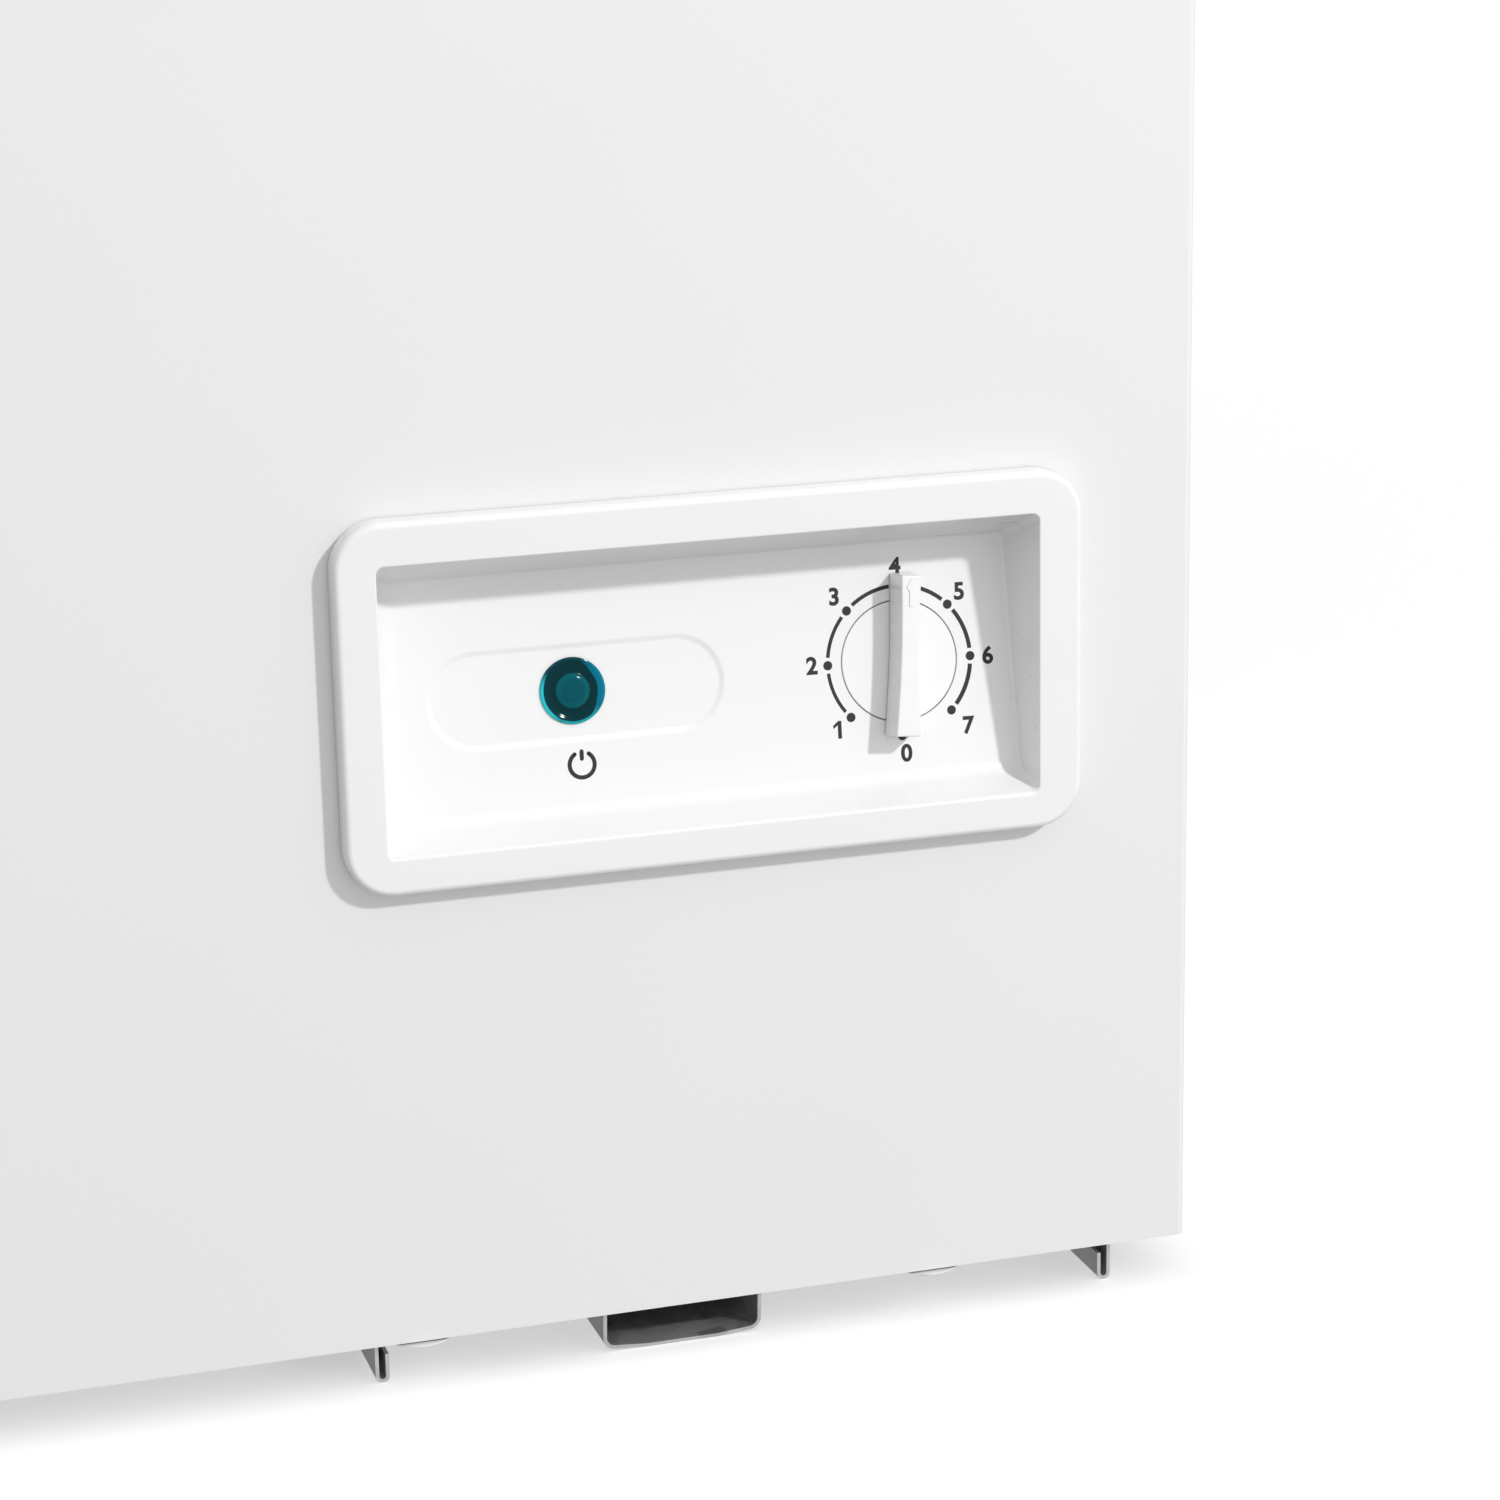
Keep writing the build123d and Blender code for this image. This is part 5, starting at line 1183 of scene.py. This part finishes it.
# ---------------------------------------------------------------- base
@dataclass
class BaseScrews:
    """White screw heads under the cabinet, each with a flared skirt."""

    head: float = 4.5 * MM
    head_height: float = 3.2 * MM
    skirt: float = 9.5 * MM
    into_seat: float = 0.3 * MM
    apart: float = 12 * MM
    steps: int = 32

    def build(self) -> None:
        """Builds a head at each screw of the frame."""
        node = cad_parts["base_screws"]
        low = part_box("base_screws")[0].z
        seat = low + self.head_height
        shape = Shape()
        for spot in self.places(node):
            head = Shape()
            head.lathe(self.profile(), self.steps)
            head.lay(Matrix.Translation((spot.x, spot.y, seat)))
            flat = head.mesh("screw_head")
            shape.bm.from_mesh(flat)
            bpy.data.meshes.remove(flat)
        stand(shape.mesh("base_screw_heads"), "cabinet", Look.SCREW_PAINT.value, ["base_screws"])

    def places(self, node: bpy.types.Object) -> list[Vector]:
        """Middles of the screws, found from the node's separate parts.

        Args:
            node: the frame's screws.

        Returns:
            One place for each screw.
        """
        places = []
        groups: list[list[Vector]] = []
        for vert in node.data.vertices:
            near = next((g for g in groups if (g[0].xy - vert.co.xy).length < self.apart), None)
            if near is None:
                groups.append([vert.co.copy()])
            else:
                near.append(vert.co.copy())
        for group in groups:
            x = (min(p.x for p in group) + max(p.x for p in group)) / 2
            y = (min(p.y for p in group) + max(p.y for p in group)) / 2
            places.append(Vector((x, y, 0)))
        return places

    def profile(self) -> list[tuple[float, float]]:
        """Section of a head.

        Returns:
            (radius, height) pairs, from its lowest point to its seat.
        """
        shares = [(0.0, -1.0), (0.35, -0.985), (0.65, -0.9), (0.86, -0.74), (0.96, -0.55), (1.0, -0.4)]
        points = [(self.head * wide, self.head_height * down) for wide, down in shares]
        for step in range(1, 6):
            turn = math.pi / 2 * step / 5
            wide = self.head + (self.skirt - self.head) * (1 - math.cos(turn))
            points.append((wide, self.head_height * 0.4 * (math.sin(turn) - 1)))
        return points + [(self.skirt, self.into_seat), (0.0, self.into_seat)]


# ---------------------------------------------------------------- lid seal
@dataclass
class LidSeal:
    """Magnetic seal of the lid: a fat tube with a soft bellows above it."""

    width: float = 13 * MM
    least_corner: float = 2 * MM
    corner: float = 15 * MM
    steps: int = 8

    def build(self) -> None:
        """Builds the seal as one closed band round the lid."""
        low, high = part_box("lid_gasket")
        tall = high.z - low.z
        section = [
            (0.06, 0.10), (0.20, 0.0), (0.80, 0.0), (0.94, 0.10), (0.97, 0.34), (0.90, 0.50),
            (0.72, 0.56), (0.86, 0.66), (0.86, 0.78), (0.66, 0.84), (0.80, 1.0), (0.20, 1.0),
            (0.34, 0.84), (0.14, 0.78), (0.14, 0.66), (0.28, 0.56), (0.10, 0.50), (0.03, 0.34),
        ]
        shape = Shape()
        loops = []
        for across, up in section:
            inset = across * self.width
            outline = rounded_rectangle(
                low.x + inset, high.x - inset, low.y + inset, high.y - inset,
                max(self.least_corner, self.corner - inset), self.steps,
            )
            loops.append(shape.ring([Vector((x, y, low.z + up * tall)) for x, y, _ in outline]))
        for index, loop in enumerate(loops):
            after = (index + 1) % len(loops)
            if section[index][1] == section[after][1]:
                shape.fill(loop, loops[after])
            else:
                shape.bridge([loop, loops[after]])
        stand(shape.mesh("lid_seal_bellows"), "lid", Look.SEAL.value, ["lid_gasket"])


# ---------------------------------------------------------------- basket
@dataclass
class Basket:
    """Basket of bent coated wires: a rim, hoops round its walls and wires under its floor."""

    rim_wire: float = 2.5 * MM
    mesh_wire: float = 1.5 * MM
    hanger_wire: float = 3.0 * MM
    pitch: float = 27 * MM
    corner: float = 12 * MM
    hoops: int = 4

    def __post_init__(self) -> None:
        """Reads the basket's corners from the frame."""
        low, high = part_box("basket_rim")
        self.low = low + Vector((self.rim_wire, self.rim_wire, self.rim_wire))
        self.high = high - Vector((self.rim_wire, self.rim_wire, self.rim_wire))
        self.top = self.low.z
        self.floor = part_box("basket_floor_mesh")[0].z + self.mesh_wire
        self.inset = self.rim_wire + self.mesh_wire

    def hoop(self, inset: float, height: float) -> list[Vector]:
        """A rounded hoop round the basket.

        Args:
            inset: how far inside the rim wire's line.
            height: its place along Z.

        Returns:
            Its points.
        """
        outline = rounded_rectangle(
            self.low.x + inset, self.high.x - inset, self.low.y + inset, self.high.y - inset,
            self.corner, 6,
        )
        return [Vector((x, y, height)) for x, y, _ in outline]

    def cradles(self) -> list[tuple[list[Vector], bool, float]]:
        """Wires that go down one wall, across the floor and up the other."""
        made = []
        inner = self.inset
        for axis in (0, 1):
            other = 1 - axis
            start = self.low[axis] + inner + 1.2 * self.corner
            end = self.high[axis] - inner - 1.2 * self.corner
            count = round((end - start) / self.pitch)
            lift = 0.0 if axis == 0 else 2 * self.mesh_wire * 0.95
            for index in range(count + 1):
                along = start + (end - start) * index / count
                near, far = self.low[other] + inner, self.high[other] - inner
                corners = []
                for side, height in (
                    (near, self.top), (near, self.floor + lift), (far, self.floor + lift), (far, self.top)
                ):
                    point = Vector((0, 0, height))
                    point[axis], point[other] = along, side
                    corners.append(point)
                made.append((bent_path(corners, self.corner, False), False, self.mesh_wire))
        return made

    def build(self) -> None:
        """Builds the rim, the wires and the two hangers."""
        rim = wires("basket_rim_wire", [(self.hoop(0, self.top), True, self.rim_wire)])
        stand(rim, "basket", Look.WIRE.value, ["basket_rim"])
        paths = self.cradles()
        for index in range(self.hoops):
            height = self.top - (self.top - self.floor - self.corner) * (index + 1) / self.hoops
            inset = self.inset + 2 * self.mesh_wire * 0.95
            paths.append((self.hoop(inset, height), True, self.mesh_wire))
        mesh = wires("basket_wires", paths)
        grids = ["basket_side_meshes", "basket_end_meshes", "basket_floor_mesh"]
        stand(mesh, "basket", Look.WIRE.value, grids)
        self.hangers()

    def hangers(self) -> None:
        """Builds the two hanger loops."""
        low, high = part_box("basket_hangers")
        edge = self.hanger_wire
        paths = []
        for out_y, rim_y in ((low.y + edge, self.low.y), (high.y - edge, self.high.y)):
            x0, x1 = low.x + edge, high.x - edge
            corners = [
                Vector((x0, rim_y, self.top)), Vector((x0, out_y, self.top)),
                Vector((x1, out_y, self.top)), Vector((x1, rim_y, self.top)),
            ]
            paths.append((bent_path(corners, 2 * edge, False), False, edge))
        mesh = wires("basket_hanger_loops", paths)
        stand(mesh, "basket", Look.WIRE.value, ["basket_hangers"])


# ---------------------------------------------------------------- frame's own pieces
@dataclass
class CarriedPieces:
    """Pieces whose shape comes from the frame, each given its finish."""

    looks: dict[Look, tuple[str, ...]] = field(default_factory=lambda: {
        Look.CABINET_PAINT: ("front_panel", "left_side_panel", "right_side_panel", "lid_skin"),
        Look.GALVANISED: (
            "back_panel", "bottom_panel", "bay_shield", "compressor_tray", "left_skid",
            "rear_grille", "compressor_foot",
        ),
        Look.TRIM_PLASTIC: (
            "lid_handle", "lid_liner", "rim_frame", "lamp_holder", "thermostat_body",
        ),
        Look.ZINC_PLATE: (
            "rear_grille_screws", "compressor_bolts", "lid_handle_screws", "hinge_bases",
            "hinge_arms", "hinge_pins", "hinge_springs", "hinge_base_screws", "hinge_arm_screws",
            "thermostat_shaft",
        ),
        Look.LINER: ("inner_liner",),
        Look.FOAM: ("insulation_foam", "lid_foam"),
        Look.DRAIN: ("drain_tube", "drain_cap"),
        Look.SEAL: ("drain_plug",),
        Look.BLACK_RUBBER: ("compressor_grommets", "cord_inlet"),
        Look.BLACK_PLASTIC: ("terminal_cover", "wire_harness"),
        Look.ENAMEL: ("compressor_shell",),
        Look.COPPER: ("suction_pipe", "discharge_pipe", "filter_drier", "thermostat_bulb_tube"),
        Look.COIL: ("evaporator_coil", "condenser_coil"),
    })

    def build(self) -> None:
        """Puts each finish on its pieces."""
        for look, names in self.looks.items():
            for name in names:
                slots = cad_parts[name].data.materials
                slots.clear()
                slots.append(look.value.material())
            LOG.info("%s: %s", look.value.name, ", ".join(names))


# ---------------------------------------------------------------- studio
@dataclass
class Studio:
    """Pale floor, soft light and the camera."""

    camera_left: float = 409.27 * MM
    camera_ahead: float = 925.39 * MM
    camera_above: float = 410.91 * MM
    pan: float = 17.094
    tilt: float = 14.934
    roll: float = -1.124
    lens: float = 92.06
    floor_size: float = 60.0
    floor_glow: float = 0.46
    key_power: float = 46.5
    key_travel: tuple[float, float, float] = (-0.5, 0.70, -0.54)
    key_reach: float = 2.9
    key_size: float = 0.18
    sky_towards: tuple[float, float, float] = (0.35, -0.75, 0.45)
    sky_low: float = 0.28
    sky_rise: float = 0.50
    backdrop: float = 1.1

    def camera(self) -> None:
        """Sets the camera by the lower right corner of the cabinet's front."""
        low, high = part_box("front_panel")
        spot = Vector((
            high.x - self.camera_left, low.y - self.camera_ahead, low.z + self.camera_above
        ))
        turn = (
            Matrix.Rotation(math.radians(-self.pan), 4, "Z")
            @ Matrix.Rotation(math.radians(90 - self.tilt), 4, "X")
            @ Matrix.Rotation(math.radians(self.roll), 4, "Z")
        )
        data = bpy.data.cameras.new("camera")
        data.lens = self.lens
        data.sensor_width = 36.0
        data.clip_end = 200.0
        seen = bpy.data.objects.new("camera", data)
        seen.matrix_world = Matrix.Translation(spot) @ turn
        bpy.context.scene.collection.objects.link(seen)
        bpy.context.scene.camera = seen

    def floor(self) -> None:
        """Lays a plain white floor under the freezer."""
        shape = Shape()
        bmesh.ops.create_grid(shape.bm, x_segments=1, y_segments=1, size=self.floor_size / 2)
        mesh = shape.mesh("floor", outward=False)
        material = bpy.data.materials.new("studio_floor")
        material.use_nodes = True
        graph = Graph(material.node_tree)
        shade = graph.noise(0.6, 1.0)
        shader = graph.node("ShaderNodeBsdfPrincipled", None, {
            "Base Color": graph.blend(shade, (0.94, 0.94, 0.94), (0.95, 0.95, 0.95)),
            "Roughness": 0.9,
            "Specular IOR Level": 0.0,
            "Emission Color": (1.0, 1.0, 1.0, 1.0),
            "Emission Strength": self.floor_glow,
        })
        graph.node("ShaderNodeOutputMaterial", None, {"Surface": shader})
        mesh.materials.append(material)
        ground = bpy.data.objects.new("floor", mesh)
        ground.visible_diffuse = False
        ground.visible_glossy = False
        bpy.context.scene.collection.objects.link(ground)

    def spare_floor(self, key: bpy.types.Object) -> None:
        """Keeps a light off the floor, which the sky alone then shades softly.

        Args:
            key: the light.
        """
        spared = bpy.data.collections.new("unlit_by_key")
        spared.objects.link(bpy.data.objects["floor"])
        key.light_linking.receiver_collection = spared
        spared.collection_objects[0].light_linking.link_state = "EXCLUDE"

    def light(self) -> None:
        """Sets the key light and a sky that is brighter above, in front and to the right."""
        low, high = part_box("control_bezel")
        travel = Vector(self.key_travel).normalized()
        data = bpy.data.lights.new("key", "AREA")
        data.shape = "DISK"
        data.size = self.key_size
        data.energy = self.key_power
        key = bpy.data.objects.new("key", data)
        spot = Matrix.Translation((low + high) / 2 - travel * self.key_reach)
        key.matrix_world = spot @ travel.to_track_quat("-Z", "Y").to_matrix().to_4x4()
        bpy.context.scene.collection.objects.link(key)
        self.spare_floor(key)
        world = bpy.data.worlds.new("studio")
        world.use_nodes = True
        graph = Graph(world.node_tree)
        way = graph.node("ShaderNodeTexCoord", out="Generated")
        towards = Vector(self.sky_towards).normalized()
        lean = graph.node(
            "ShaderNodeVectorMath", {"operation": "DOT_PRODUCT"}, {0: way, 1: towards}, "Value"
        )
        power = self.sky_low + lean.rise(-0.5, 0.9) * self.sky_rise
        seen = graph.node("ShaderNodeLightPath", out="Is Camera Ray")
        power = power * (1 - seen) + seen * self.backdrop
        sky = graph.node("ShaderNodeBackground", None, {0: (1.0, 1.0, 1.0, 1.0), 1: power})
        graph.node("ShaderNodeOutputWorld", None, {0: sky})
        bpy.context.scene.world = world
        bpy.context.scene.view_settings.view_transform = "Standard"

    def build(self) -> None:
        """Builds the studio."""
        self.camera()
        self.floor()
        self.light()


def main() -> None:
    """Builds the studio and every sub-assembly."""
    logging.basicConfig(level=logging.INFO, format="%(name)s: %(message)s")
    Studio().build()
    for part in (CarriedPieces(), ControlPanel(), BaseScrews(), LidSeal(), Basket()):
        LOG.info("building %s", type(part).__name__)
        part.build()


if __name__ == "__main__":
    main()
